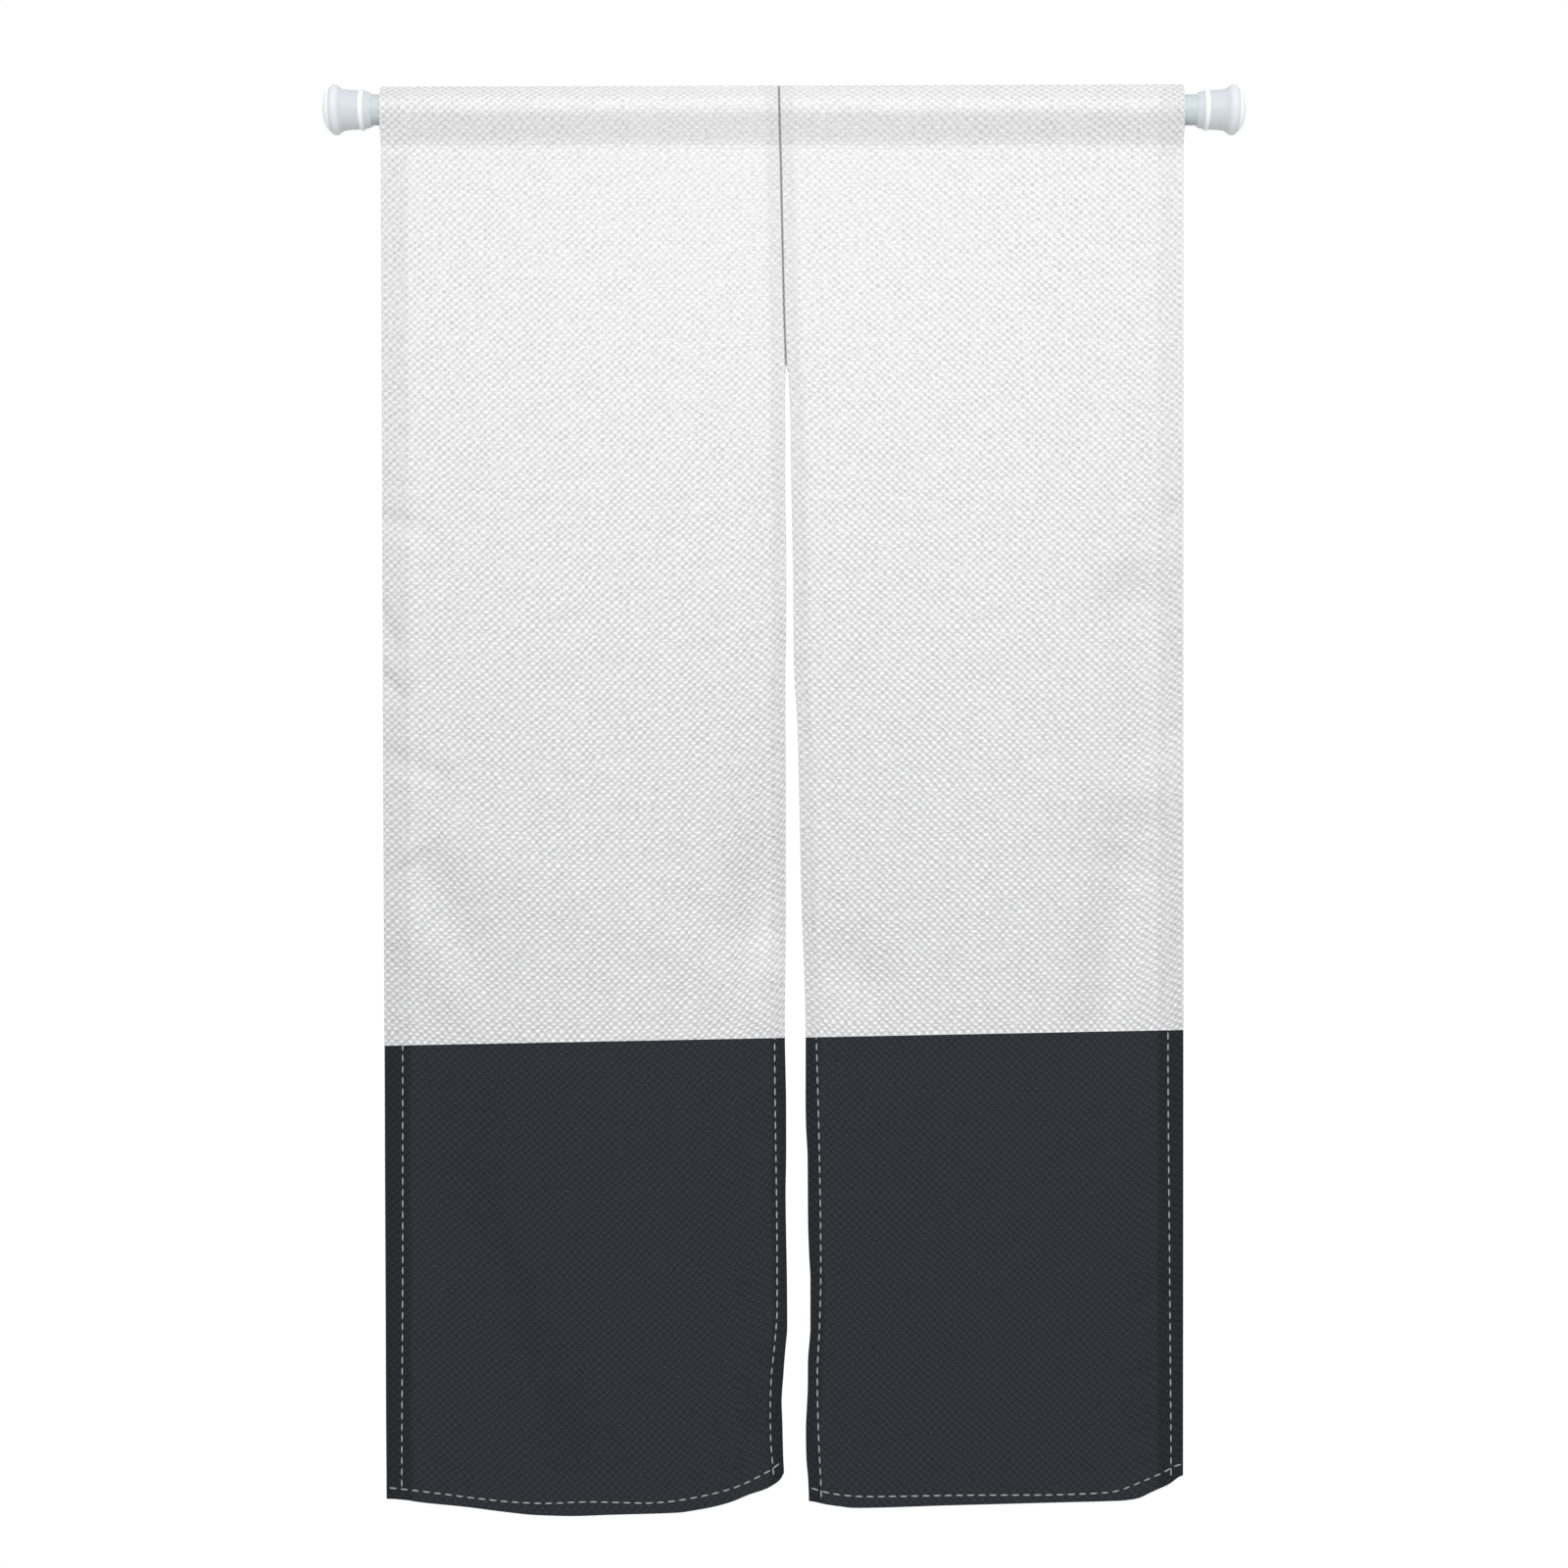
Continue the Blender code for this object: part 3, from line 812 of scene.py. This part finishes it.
# Sunk colours are a painted shade, and the raised colour low down is a painted highlight.
WHITE_SUNK_HIGH = (0.67, 0.67, 0.67)
WHITE_SUNK_LOW = (0.668, 0.668, 0.673)
WHITE_RAISED_HIGH = (0.887, 0.887, 0.887)
WHITE_RAISED_LOW_HIGHLIGHT = (0.97, 0.97, 0.97)
WHITE_RIM = 1.05
SLATE_SUNK = (0.0249, 0.028, 0.0341)
SLATE_RAISED = (0.0364, 0.0399, 0.0484)
SLATE_RIM = 0.8
WHITE_LAYER_PAINTED_SHADE = 0.925
SLATE_LAYER_PAINTED_SHADE = 0.7
SEAM_PAINTED_SHADE_FACTOR = 0.5
SKEW_START = 0.3
SKEW_END = 0.68
SKEW_LEFT = 0.06
SKEW_RIGHT = -0.04
CLOTH_ROUGHNESS = 0.92
CLOTH_SHEEN = 0.15
NOISE_REACH = (0.25, 0.75)
NOISE_CORE = (0.3, 0.7)


def fade(tree, share, colour, factor):
    """Multiply a colour by a factor where share is 1."""
    return mix_colour(tree, share, colour, mix_colour(tree, 1.0, colour, (factor,) * 3, "MULTIPLY"))


def measured(tree, name):
    """A number that the cloth's points carry."""
    node = new_node(tree, "Attribute")
    node.attribute_name = name
    return node.outputs["Fac"]


def drawn_out(tree, flat, tone):
    """An uneven tone in level streaks, which are longer the smaller its length number is."""
    along, down, _ = parts_of(tree, flat)
    place = vector_of(tree, times(tree, along, tone.length), down, 0.0)
    noise = cloudy(tree, place, tone.scale)
    return ramp(tree, noise, *NOISE_REACH, tone.darkest, tone.lightest)


def make_cloth_material():
    material, tree, shader = new_material("woven_cloth")
    flat_map = new_node(tree, "UVMap")
    flat_map.uv_map = "flat"
    flat = flat_map.outputs["UV"]
    x, _, z = parts_of(tree, place_on_part(tree))
    slant = ramp(tree, x, SKEW_START, SKEW_END, SKEW_LEFT, SKEW_RIGHT)
    size = {"Across": THREAD_ACROSS, "Down": THREAD_DOWN}
    weave = place_group(tree, weave_group, Place=flat, **size, Slant=slant, Wander=WEAVE_WANDER)
    patches = cloudy(tree, flat, PATCH_SCALE)
    patch = ramp(tree, patches, *NOISE_CORE, PATCH_LEAST, PATCH_MOST)
    yarn = maths(tree, "MULTIPLY_ADD", weave["Yarn"], YARN_SPREAD, YARN_LEAST)
    uneven = times(tree, patch, yarn)
    aside = maths(tree, "ABSOLUTE", maths(tree, "SUBTRACT", x, SMOOTH_CENTRE))
    middle = ramp(tree, aside, SMOOTH_REACH, 0.0)
    change = ramp(tree, z, SMOOTH_HIGH, SMOOTH_LOW, SMOOTH_LEAST - 1.0, SMOOTH_MOST - 1.0)
    uneven = times(tree, uneven, maths(tree, "MULTIPLY_ADD", middle, change, 1.0))
    in_rows = times(tree, weave["Rows"], ROW_SHARE)
    rise = maths(tree, "MULTIPLY_ADD", weave["Rise"], uneven, in_rows)
    open_and_highlight_share = ramp(tree, z, OPEN_HIGH, OPEN_LOW, way="LINEAR")
    sunk_limit = ramp(tree, open_and_highlight_share, 0.0, 1.0, *SUNK_LIMIT)
    raised_limit = ramp(tree, open_and_highlight_share, 0.0, 1.0, *RAISED_LIMIT)
    raised = ramp(tree, rise, sunk_limit, raised_limit)
    # Sunk spots take a painted shade, and raised spots are painted lighter towards the foot as a painted
    # highlight.
    white_sunk = mix_colour(tree, open_and_highlight_share, WHITE_SUNK_HIGH, WHITE_SUNK_LOW)
    white_raised = mix_colour(tree, open_and_highlight_share, WHITE_RAISED_HIGH, WHITE_RAISED_LOW_HIGHLIGHT)
    white = mix_colour(tree, raised, white_sunk, white_raised)
    slate = mix_colour(tree, raised, SLATE_SUNK, SLATE_RAISED)
    tone = times(tree, drawn_out(tree, flat, STREAK), drawn_out(tree, flat, SLUB))
    white = mix_colour(tree, 1.0, white, vector_of(tree, tone, tone, tone), "MULTIPLY")

    above = measured(tree, "above_band")
    in_band = ramp(tree, above, BAND_SHARP, -BAND_SHARP)
    rim = ramp(tree, maths(tree, "ABSOLUTE", above), BAND_RIM, 0.0)
    white = fade(tree, rim, white, WHITE_RIM)
    slate = fade(tree, rim, slate, SLATE_RIM)

    # Painted shade where a hem's second layer, or the rod and the pocket's back wall, keep out light from
    # behind.
    doubled = measured(tree, "doubled")
    slate = fade(tree, doubled, slate, SLATE_LAYER_PAINTED_SHADE)
    white = fade(tree, doubled, white, WHITE_LAYER_PAINTED_SHADE)
    # Painted shade in the seam's groove, where the panels press on each other.
    white = fade(tree, measured(tree, "seam_painted_shade"), white, SEAM_PAINTED_SHADE_FACTOR)
    colour = mix_colour(tree, in_band, white, slate)
    fill(tree, shader, Base_Color=colour, Roughness=CLOTH_ROUGHNESS, Specular_IOR_Level=CLOTH_SHEEN)
    height = times(tree, rise, ramp(tree, open_and_highlight_share, 0.0, 1.0, FLAT_HIGH, 1.0))
    raise_surface(tree, shader, height, WEAVE_HEIGHT)
    return material


cloth_material = make_cloth_material()
print("cloth finish:", len(cloth_material.node_tree.nodes), "nodes")

# %% [markdown]
# ## Thread
#
# The hems are sewn with a stout pale thread. It hardly shows on the white cloth, and makes a clear dashed
# line on the slate band, where it lies sunk between dark threads and is painted greyer, a painted shade for
# the shade it lies in there. A fine twist runs along each stitch.

# %% Thread
THREAD_COLOUR = (0.86, 0.86, 0.88)
THREAD_SHADE = (0.74, 0.74, 0.76)
THREAD_SUNK_SHADE = 0.52
THREAD_ROUGHNESS = 0.7
TWIST_SCALE = 900.0
TWIST_HEIGHT = 0.0002
BAND_SLOPE = (BAND_RIGHT.z - BAND_LEFT.z) / (BAND_RIGHT.x - BAND_LEFT.x)


def make_thread_material():
    material, tree, shader = new_material("sewing_thread")
    position = place_on_part(tree)
    x, _, z = parts_of(tree, position)
    band_edge = maths(tree, "MULTIPLY_ADD", x, BAND_SLOPE, BAND_LEFT.z - BAND_SLOPE * BAND_LEFT.x)
    twist = cloudy(tree, position, TWIST_SCALE)
    pale = mix_colour(tree, twist, THREAD_SHADE, THREAD_COLOUR)
    in_band = maths(tree, "LESS_THAN", z, band_edge)
    # Over the slate band the thread takes a painted shade.
    colour = fade(tree, in_band, pale, THREAD_SUNK_SHADE)
    fill(tree, shader, Base_Color=colour, Roughness=THREAD_ROUGHNESS)
    raise_surface(tree, shader, twist, TWIST_HEIGHT)
    return material


thread_material = make_thread_material()

# %% [markdown]
# ## A panel
#
# The grid operator lays out the flat cloth. Each point is moved to its hanging place, and its flat place is
# kept as the UV map in metres, so the weave follows the cloth through every hem. Each point also carries
# three numbers for the finish: how much painted shade it takes where a second layer keeps out light from
# behind, how much painted shade it takes in the seam where the panels press on each other, and how far above
# the band it hangs. The pocket takes a painted shade just above and below the middle of the rod, where the
# cloth turns away and the rod and back wall keep out light from behind. Solidify then gives the sheet its
# thickness.

# %% Make the panels
CRISP_HEM = 0.4
OUTER_HEM_LEFT = 0.1
OUTER_HEM_RIGHT = 0.86
POCKET_PAINTED_SHADE = 0.55
POCKET_PLAIN = 0.004
POCKET_CHANGE = 0.008
POCKET_LOW = -0.034
GRID_HALF = 0.5


def flat_places(panel, rows, columns):
    """Where rows and columns lie on the flat cloth, measured along the middle of the panel."""
    across = [0.0]
    for a, b in zip(columns, columns[1:]):
        run = column_x(panel, b, MIDDLE_HEIGHT) - column_x(panel, a, MIDDLE_HEIGHT)
        across.append(across[-1] + math.hypot(run, (b.layer - a.layer) * LAYER))
    centre = columns[len(columns) // 2]
    low = column_foot(panel, centre)
    down = [0.0]
    for a, b in zip(rows, rows[1:]):
        start = stand(a, 1.0, low)
        end = stand(b, 1.0, low)
        down.append(down[-1] + math.hypot(end[0] - start[0], end[1] - start[1]))
    return across, down


def hang(panel, row, column, low):
    """Where one point of the cloth hangs, and how far above the band it is."""
    y, z, in_y, in_z = stand(row, column_stack(panel, column, low), low)
    x = column_x(panel, column, z)
    depth = column.layer * LAYER
    lift_start = ROD_RADIUS / 2
    lift = (x - VIEW_CENTRE.x) * TOP_TILT * ease((z - lift_start) / (POCKET_TOP - lift_start))
    place = set_back(x, y + in_y * depth, z + in_z * depth + lift, relief(panel.folds, x, z))
    return place, height_above_band(x, z)


def pocket_painted_shade(z):
    """Painted shade on the pocket above and below the middle of the rod, where the cloth turns away and the
    rod and back wall keep out light from behind.
    """
    away = ease((abs(z) - POCKET_PLAIN) / POCKET_CHANGE)
    return POCKET_PAINTED_SHADE * away * ease((z - POCKET_LOW) / POCKET_CHANGE)


def layer_painted_shade_at(column, row, x, z):
    """Painted shade for the light from behind that a side hem's second layer keeps out, least where the hem
    is crisp, plus the pocket's painted shade.
    """
    if column.side == 0:
        return pocket_painted_shade(z)
    if row.part == "pocket":
        hem = CRISP_HEM if x < OUTER_HEM_LEFT else 1.0
        return hem + pocket_painted_shade(max(0.0, z))
    if x > OUTER_HEM_RIGHT:
        return min(1.0, CRISP_HEM + (1.0 - CRISP_HEM) * z / BAND_RIGHT.z)
    return 1.0


def make_panel(panel):
    rows = rows_of()
    columns = columns_of(panel)
    across, down = flat_places(panel, rows, columns)
    lows = [column_foot(panel, column) for column in columns]
    bm = bmesh.new()
    bmesh.ops.create_grid(bm, x_segments=len(columns) - 1, y_segments=len(rows) - 1, size=GRID_HALF)
    doubled = bm.verts.layers.float.new("doubled")
    seam_painted_shade = bm.verts.layers.float.new("seam_painted_shade")
    above_band = bm.verts.layers.float.new("above_band")
    uv = bm.loops.layers.uv.new("flat")
    flat = {}
    for corner in bm.verts:
        i = round((corner.co.x + GRID_HALF) * (len(columns) - 1))
        j = round((corner.co.y + GRID_HALF) * (len(rows) - 1))
        flat[corner] = (across[i], -down[j])
        corner.co, corner[above_band] = hang(panel, rows[j], columns[i], lows[i])
        # Painted shade for light from behind that a second layer or the rod keeps out.
        corner[doubled] = layer_painted_shade_at(columns[i], rows[j], corner.co.x, corner.co.z)
        # Painted shade in the seam's groove.
        corner[seam_painted_shade] = seam_shade_at(panel, columns[i], corner.co.z)
    for face in bm.faces:
        for loop in face.loops:
            loop[uv].uv = flat[loop.vert]
    bmesh.ops.reverse_faces(bm, faces=bm.faces)
    item = finished_object(panel.name.replace("panel", "cloth"), bm)
    thicken = item.modifiers.new("thickness", "SOLIDIFY")
    thicken.thickness = CLOTH
    thicken.offset = 0.0
    print("%s is cut %.3f by %.3f m" % (item.name, across[-1], down[-1]))
    return item, (across[-1], down[-1])

# %% [markdown]
# ## Sewing
#
# Each hem is held by one row of stitches a short way inside the fold, on the front and, half a step along,
# on the back. The rows follow lines of places down or across the panel, and run out to the edges where they
# cross at the corners.

# %% Stitch lines
LEFT_OUTER_SEAM = line_down((-0.04, 0.0833), (-1.2, 0.0833), (-1.471, 0.0823))
LEFT_INNER_SEAM = line_down(
    (-0.04, 0.472), (-0.271, 0.4776), (-0.55, 0.48), (-0.985, 0.4776), (-1.234, 0.4802),
    (-1.27, 0.4802), (-1.307, 0.4778), (-1.346, 0.4738), (-1.38, 0.4729), (-1.411, 0.4734),
    (-1.454, 0.4766),
)
RIGHT_INNER_SEAM = line_down(
    (-0.04, 0.4954), (-0.271, 0.5006), (-0.55, 0.5064), (-0.85, 0.5146), (-0.985, 0.5218),
    (-1.231, 0.5265), (-1.286, 0.5253), (-1.343, 0.5228), (-1.4, 0.5239), (-1.475, 0.527),
)
RIGHT_OUTER_SEAM = line_down((-0.04, 0.895), (-0.985, 0.8945), (-1.234, 0.8963), (-1.453, 0.8977))
LEFT_FOOT_SEAM = line_across(
    (0.0675, -1.4606), (0.0833, -1.4622), (0.235, -1.4772), (0.28, -1.4756), (0.342, -1.4769),
    (0.3628, -1.4757), (0.3981, -1.47), (0.421, -1.4648), (0.4428, -1.4575), (0.4657, -1.4461),
    (0.475, -1.4409), (0.4854, -1.4336),
)
RIGHT_FOOT_SEAM = line_across(
    (0.515, -1.4606), (0.5265, -1.4642), (0.5488, -1.4684), (0.5706, -1.47), (0.7016, -1.4684),
    (0.7608, -1.4683), (0.8304, -1.4658), (0.8418, -1.4637), (0.8647, -1.455), (0.8875, -1.4454),
    (0.909, -1.4357),
)
print("foot seams of %d and %d places" % (len(LEFT_FOOT_SEAM), len(RIGHT_FOOT_SEAM)))

# %% [markdown]
# ## Stitches
#
# A stitch is a small lump that dips into the cloth at both ends. One is made and laid along every row, turned
# with the cloth. Short level ones behind the seam hold the two panels to each other above the slit.

# %% Stitches
STITCH_PITCH = 0.01185
STITCH_LENGTH = 0.0082
STITCH_WIDTH = 0.0016
STITCH_HEIGHT = 0.0009
STITCH_SIDES = 8
STITCH_RINGS = 6
FIRST_STITCH = 0.0015
LINE_STEP = 0.004
SEAM_STEPS = 100
MERGE = 0.00001

SEAMS = (
    (LEFT_OUTER_SEAM, LEFT_INNER_SEAM, LEFT_FOOT_SEAM),
    (RIGHT_INNER_SEAM, RIGHT_OUTER_SEAM, RIGHT_FOOT_SEAM),
)


def points_on(line):
    """Points along a seam, a few millimetres apart, as (x, z)."""
    start, end = line[0][0], line[-1][0]
    count = round(abs(end - start) / LINE_STEP)
    steps = [start + (end - start) * i / count for i in range(count + 1)]
    if isinstance(line[0], Place):
        return [(line_x(line, z), z) for z in steps]
    return [(x, foot_z(line, x)) for x in steps]


def along_line(points, distance):
    """The point at a distance along a line of points."""
    for (x0, z0), (x1, z1) in zip(points, points[1:]):
        length = math.hypot(x1 - x0, z1 - z0)
        if distance <= length:
            return x0 + (x1 - x0) * distance / length, z0 + (z1 - z0) * distance / length
        distance -= length
    return points[-1]


def line_length(points):
    return sum(math.hypot(x1 - x0, z1 - z0) for (x0, z0), (x1, z1) in zip(points, points[1:]))


def make_stitch():
    """One stitch, lying along Z: a lump that is round across and tapers at both ends."""
    bm = bmesh.new()
    size = Matrix.Diagonal((STITCH_WIDTH / 2, STITCH_HEIGHT / 2, STITCH_LENGTH / 2, 1.0))
    bmesh.ops.create_uvsphere(bm, u_segments=STITCH_SIDES, v_segments=STITCH_RINGS, radius=1.0, matrix=size)
    mesh = bpy.data.meshes.new("stitch")
    bm.to_mesh(mesh)
    bm.free()
    return mesh


one_stitch = make_stitch()


def sew(bm, folds, points, behind, start):
    """Lay a row of stitches on the cloth. Behind is how far back from its middle the row lies."""
    distance = start
    total = line_length(points)
    while distance + STITCH_LENGTH < total + MERGE:
        ends = []
        for at in (distance, distance + STITCH_LENGTH):
            x, z = along_line(points, at)
            ends.append(set_back(x, behind, z, relief(folds, x, z)))
        run = (ends[1] - ends[0]).normalized()
        side = run.cross(Vector((0.0, 1.0, 0.0))).normalized()
        out = run.cross(side)
        turn = Matrix((side, out, run)).transposed().to_4x4()
        laid = one_stitch.copy()
        laid.transform(Matrix.Translation((ends[0] + ends[1]) / 2) @ turn)
        bm.from_mesh(laid)
        bpy.data.meshes.remove(laid)
        distance += STITCH_PITCH


def join_behind(bm, panel):
    """Short level stitches behind the seam that hold the two panels edge to edge."""
    z = POCKET_SEAM - STITCH_PITCH
    while z > SLIT_HEAD:
        x = line_x(panel.right_edge, z)
        ends = ((x - STITCH_LENGTH / 2, z), (x + STITCH_LENGTH / 2, z))
        sew(bm, panel.folds, ends, LAYER + CLOTH / 2, 0.0)
        z -= STITCH_PITCH


def make_stitches(panel, seams):
    bm = bmesh.new()
    front = -CLOTH / 2
    back = LAYER + CLOTH / 2
    lines = [points_on(line) for line in seams]
    left, right = edges_of(panel, POCKET_SEAM)
    seam = [left + (right - left) * i / SEAM_STEPS for i in range(SEAM_STEPS + 1)]
    lines.append([(x, POCKET_SEAM) for x in seam])
    for points in lines:
        sew(bm, panel.folds, points, front, FIRST_STITCH)
        sew(bm, panel.folds, points, back, FIRST_STITCH + STITCH_PITCH / 2)
    if panel.seam_side > 0:
        join_behind(bm, panel)
    return finished_object(panel.name.replace("panel", "stitches"), bm, thread_material)


# %% [markdown]
# ## Hanging and sewing
#
# Each panel is made, given its finish and sewn. It hangs from the rod by its pocket.

# %% Hang the panels and sew their hems
for panel, seams in zip(PANELS, SEAMS):
    cloth, cut = make_panel(panel)
    cloth.data.materials.append(cloth_material)
    stitches = make_stitches(panel, seams)
    for piece in (cloth, stitches):
        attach(piece, "root")
    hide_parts(panel.name)
    print("%s has %d faces" % (stitches.name, len(stitches.data.polygons)))

# %% [markdown]
# ## Rod, caps and pads
#
# These are round pieces, so each is one line of its section spun a full turn about the rod's axis. The rod
# shows only between the cloth and the caps. Each cap is moulded in one with a rounded flange, a waist and a
# ring near its mouth, and carries a domed rubber pad that presses on the door's side.

# %% Turned pieces
PAD_DEPTH = 0.0066
CAP_START = PAD_DEPTH + FIT_GAP
CAP_LENGTH = 0.0508
SOCKET_DEPTH = 0.026
SPIN_STEPS = 96
PROFILE_STEPS = 5
TURNED_SHARP = math.radians(50.0)
PAD_GAP = 0.00005
PAD_PROFILE = (
    (0.0, 0.011), (0.0008, 0.0142), (0.0022, 0.0176), (0.004, 0.0204), (PAD_DEPTH, 0.0228),
)
CAP_PROFILE = (
    (CAP_START, 0.0232), (0.009, 0.0252), (0.0112, 0.0261), (0.0134, 0.0262), (0.0156, 0.0253),
    (0.0182, 0.0232), (0.022, 0.0215), (0.029, 0.0208), (0.0376, 0.0204), (0.0386, 0.0211),
    (0.0406, 0.0216), (0.0426, 0.021), (0.0434, 0.0198), (0.047, 0.0189), (CAP_LENGTH, 0.0178),
)


def rounded_profile(profile):
    """More points on the smooth curve through a profile."""
    places, radii = zip(*profile)
    points = []
    for a, b in zip(places, places[1:]):
        for i in range(PROFILE_STEPS):
            inward = a + (b - a) * i / PROFILE_STEPS
            points.append((inward, smooth_through(places, radii, inward)))
    points.append((places[-1], radii[-1]))
    return points


def cap_line():
    socket_radius = ROD_RADIUS + FIT_GAP
    socket_floor = CAP_LENGTH - SOCKET_DEPTH
    outside = [(CAP_START, 0.0)] + rounded_profile(CAP_PROFILE)
    return outside + [(CAP_LENGTH, socket_radius), (socket_floor, socket_radius), (socket_floor, 0.0)]


def pad_line():
    back = CAP_START - PAD_GAP
    _, pad_radius = PAD_PROFILE[-1]
    return [(0.0, 0.0)] + rounded_profile(PAD_PROFILE) + [(back, pad_radius), (back, 0.0)]


def rod_line():
    start = CAP_LENGTH - SOCKET_DEPTH + FIT_GAP
    return [(start, 0.0), (start, ROD_RADIUS), (SPAN - start, ROD_RADIUS), (SPAN - start, 0.0)]


def turned_piece(name, points, on_right, material):
    """Spin a line of (inward, radius) points about the rod's axis. The right end is mirrored."""
    bm = bmesh.new()
    corners = [bm.verts.new((inward, 0.0, radius)) for inward, radius in points]
    edges = [bm.edges.new(pair) for pair in zip(corners, corners[1:])]
    turn = {"cent": (0.0, 0.0, 0.0), "axis": (1.0, 0.0, 0.0), "angle": 2 * math.pi}
    bmesh.ops.spin(bm, geom=corners + edges, **turn, steps=SPIN_STEPS, use_merge=True)
    bmesh.ops.remove_doubles(bm, verts=bm.verts, dist=MERGE)
    if on_right:
        mirror = Matrix.Translation((SPAN, 0.0, 0.0)) @ Matrix.Scale(-1.0, 4, (1.0, 0.0, 0.0))
        bmesh.ops.transform(bm, matrix=mirror, verts=bm.verts)
    bmesh.ops.recalc_face_normals(bm, faces=bm.faces)
    piece = finished_object("turned_" + name, bm, material)
    piece.data.set_sharp_from_angle(angle=TURNED_SHARP)
    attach(piece, "root")
    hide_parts(name)
    print("%s has %d faces" % (piece.name, len(piece.data.polygons)))


# %% [markdown]
# ## Finishes of the hard parts
#
# All three share a fine grain, which makes the light on them a little uneven: faint on the enamelled tube,
# finest on the rubber pad and wider on the moulded cap. The cap is of milky plastic, which lets light in, and
# a faint painted glow keeps the shaded side of the cap and of the pad pale. The cap's flange is painted
# lighter than its body, a painted highlight where it faces up and outward, and the ring is painted lightest.

# %% Grain group and hard finishes
Finish = namedtuple("Finish", "name size roughness height colour glow")
ENAMEL = Finish("tube_enamel", 0.001, 0.5, 0.00002, (0.6, 0.665, 0.7), 0.0)
# The cap and the pad carry a painted glow.
MOULDING = Finish("cap_moulding", 0.0016, 0.6, 0.00004, (0.53, 0.565, 0.6), 0.15)
RUBBER = Finish("pad_rubber", 0.0008, 0.62, 0.00004, (0.88, 0.89, 0.91), 0.2)
# The flange's colour is a painted highlight.
RIM_HIGHLIGHT_COLOUR = (0.63, 0.66, 0.69)
RING_COLOUR = (0.78, 0.81, 0.84)
SHADE = 0.96
GLOSS_SPREAD = 0.05
CLOUD_SCALE = 0.12
RING_START = 0.0376
RING_END = 0.0436
RIM_START = 0.02
RIM_END = 0.015
EDGE_BLUR = 0.001
MILKINESS = 0.45
MILKY_DEPTH = 0.008


def make_grain_group():
    inputs = (("Place", "Vector"), ("Size", "Float"))
    group, given, result = new_group("fine_grain", inputs, ("Grain", "Cloud"))
    scaled = new_node(group, "VectorMath")
    scaled.operation = "SCALE"
    fill(group, scaled, Vector=given["Place"], Scale=maths(group, "DIVIDE", 1.0, given["Size"]))
    plug(group, result["Grain"], cloudy(group, scaled.outputs["Vector"], 1.0))
    plug(group, result["Cloud"], cloudy(group, scaled.outputs["Vector"], CLOUD_SCALE))
    return group


grain_group = make_grain_group()


def add_milkiness_and_painted_glow(tree, shader, glow):
    """Light that enters a milky plastic comes out all over it, as the subsurface scatter does, and a painted
    glow also brightens the side in shade.
    """
    fill(tree, shader, Subsurface_Weight=MILKINESS, Subsurface_Scale=MILKY_DEPTH)
    # The emission is a painted glow that keeps the shaded side pale.
    fill(tree, shader, Subsurface_Radius=WHITE[:3], Emission_Color=WHITE, Emission_Strength=glow)


def painted_rim_highlight_and_ring(tree, position, body):
    """The cap's flange is painted lighter than its body, a painted highlight where it faces up and outward,
    and the ring near its mouth is painted lightest.
    """
    x, _, _ = parts_of(tree, position)
    inward = maths(tree, "MINIMUM", x, maths(tree, "SUBTRACT", SPAN, x))
    rim_highlight = ramp(tree, inward, RIM_START, RIM_END)
    past_start = ramp(tree, inward, RING_START, RING_START + EDGE_BLUR)
    before_end = ramp(tree, inward, RING_END, RING_END - EDGE_BLUR)
    in_ring = times(tree, past_start, before_end)
    with_rim_highlight = mix_colour(tree, rim_highlight, body, RIM_HIGHLIGHT_COLOUR)
    return mix_colour(tree, in_ring, with_rim_highlight, RING_COLOUR)


def hard_material(finish, edges=None):
    """A hard finish with an uneven gloss, tone and surface."""
    material, tree, shader = new_material(finish.name)
    position = place_on_part(tree)
    grain = place_group(tree, grain_group, Place=position, Size=finish.size)
    least, most = finish.roughness - GLOSS_SPREAD, finish.roughness + GLOSS_SPREAD
    gloss = ramp(tree, grain["Cloud"], *NOISE_CORE, least, most)
    raise_surface(tree, shader, grain["Grain"], finish.height)
    shade = tuple(part * SHADE for part in finish.colour)
    colour = mix_colour(tree, grain["Cloud"], shade, finish.colour)
    if edges is not None:
        colour = edges(tree, position, colour)
    fill(tree, shader, Base_Color=colour, Roughness=gloss)
    if finish.glow > 0.0:
        add_milkiness_and_painted_glow(tree, shader, finish.glow)
    return material


enamel = hard_material(ENAMEL)
moulding = hard_material(MOULDING, painted_rim_highlight_and_ring)
rubber = hard_material(RUBBER)

turned_piece("rod", rod_line(), False, enamel)
for side in ("left", "right"):
    turned_piece("cap_" + side, cap_line(), side == "right", moulding)
    turned_piece("pad_" + side, pad_line(), side == "right", rubber)
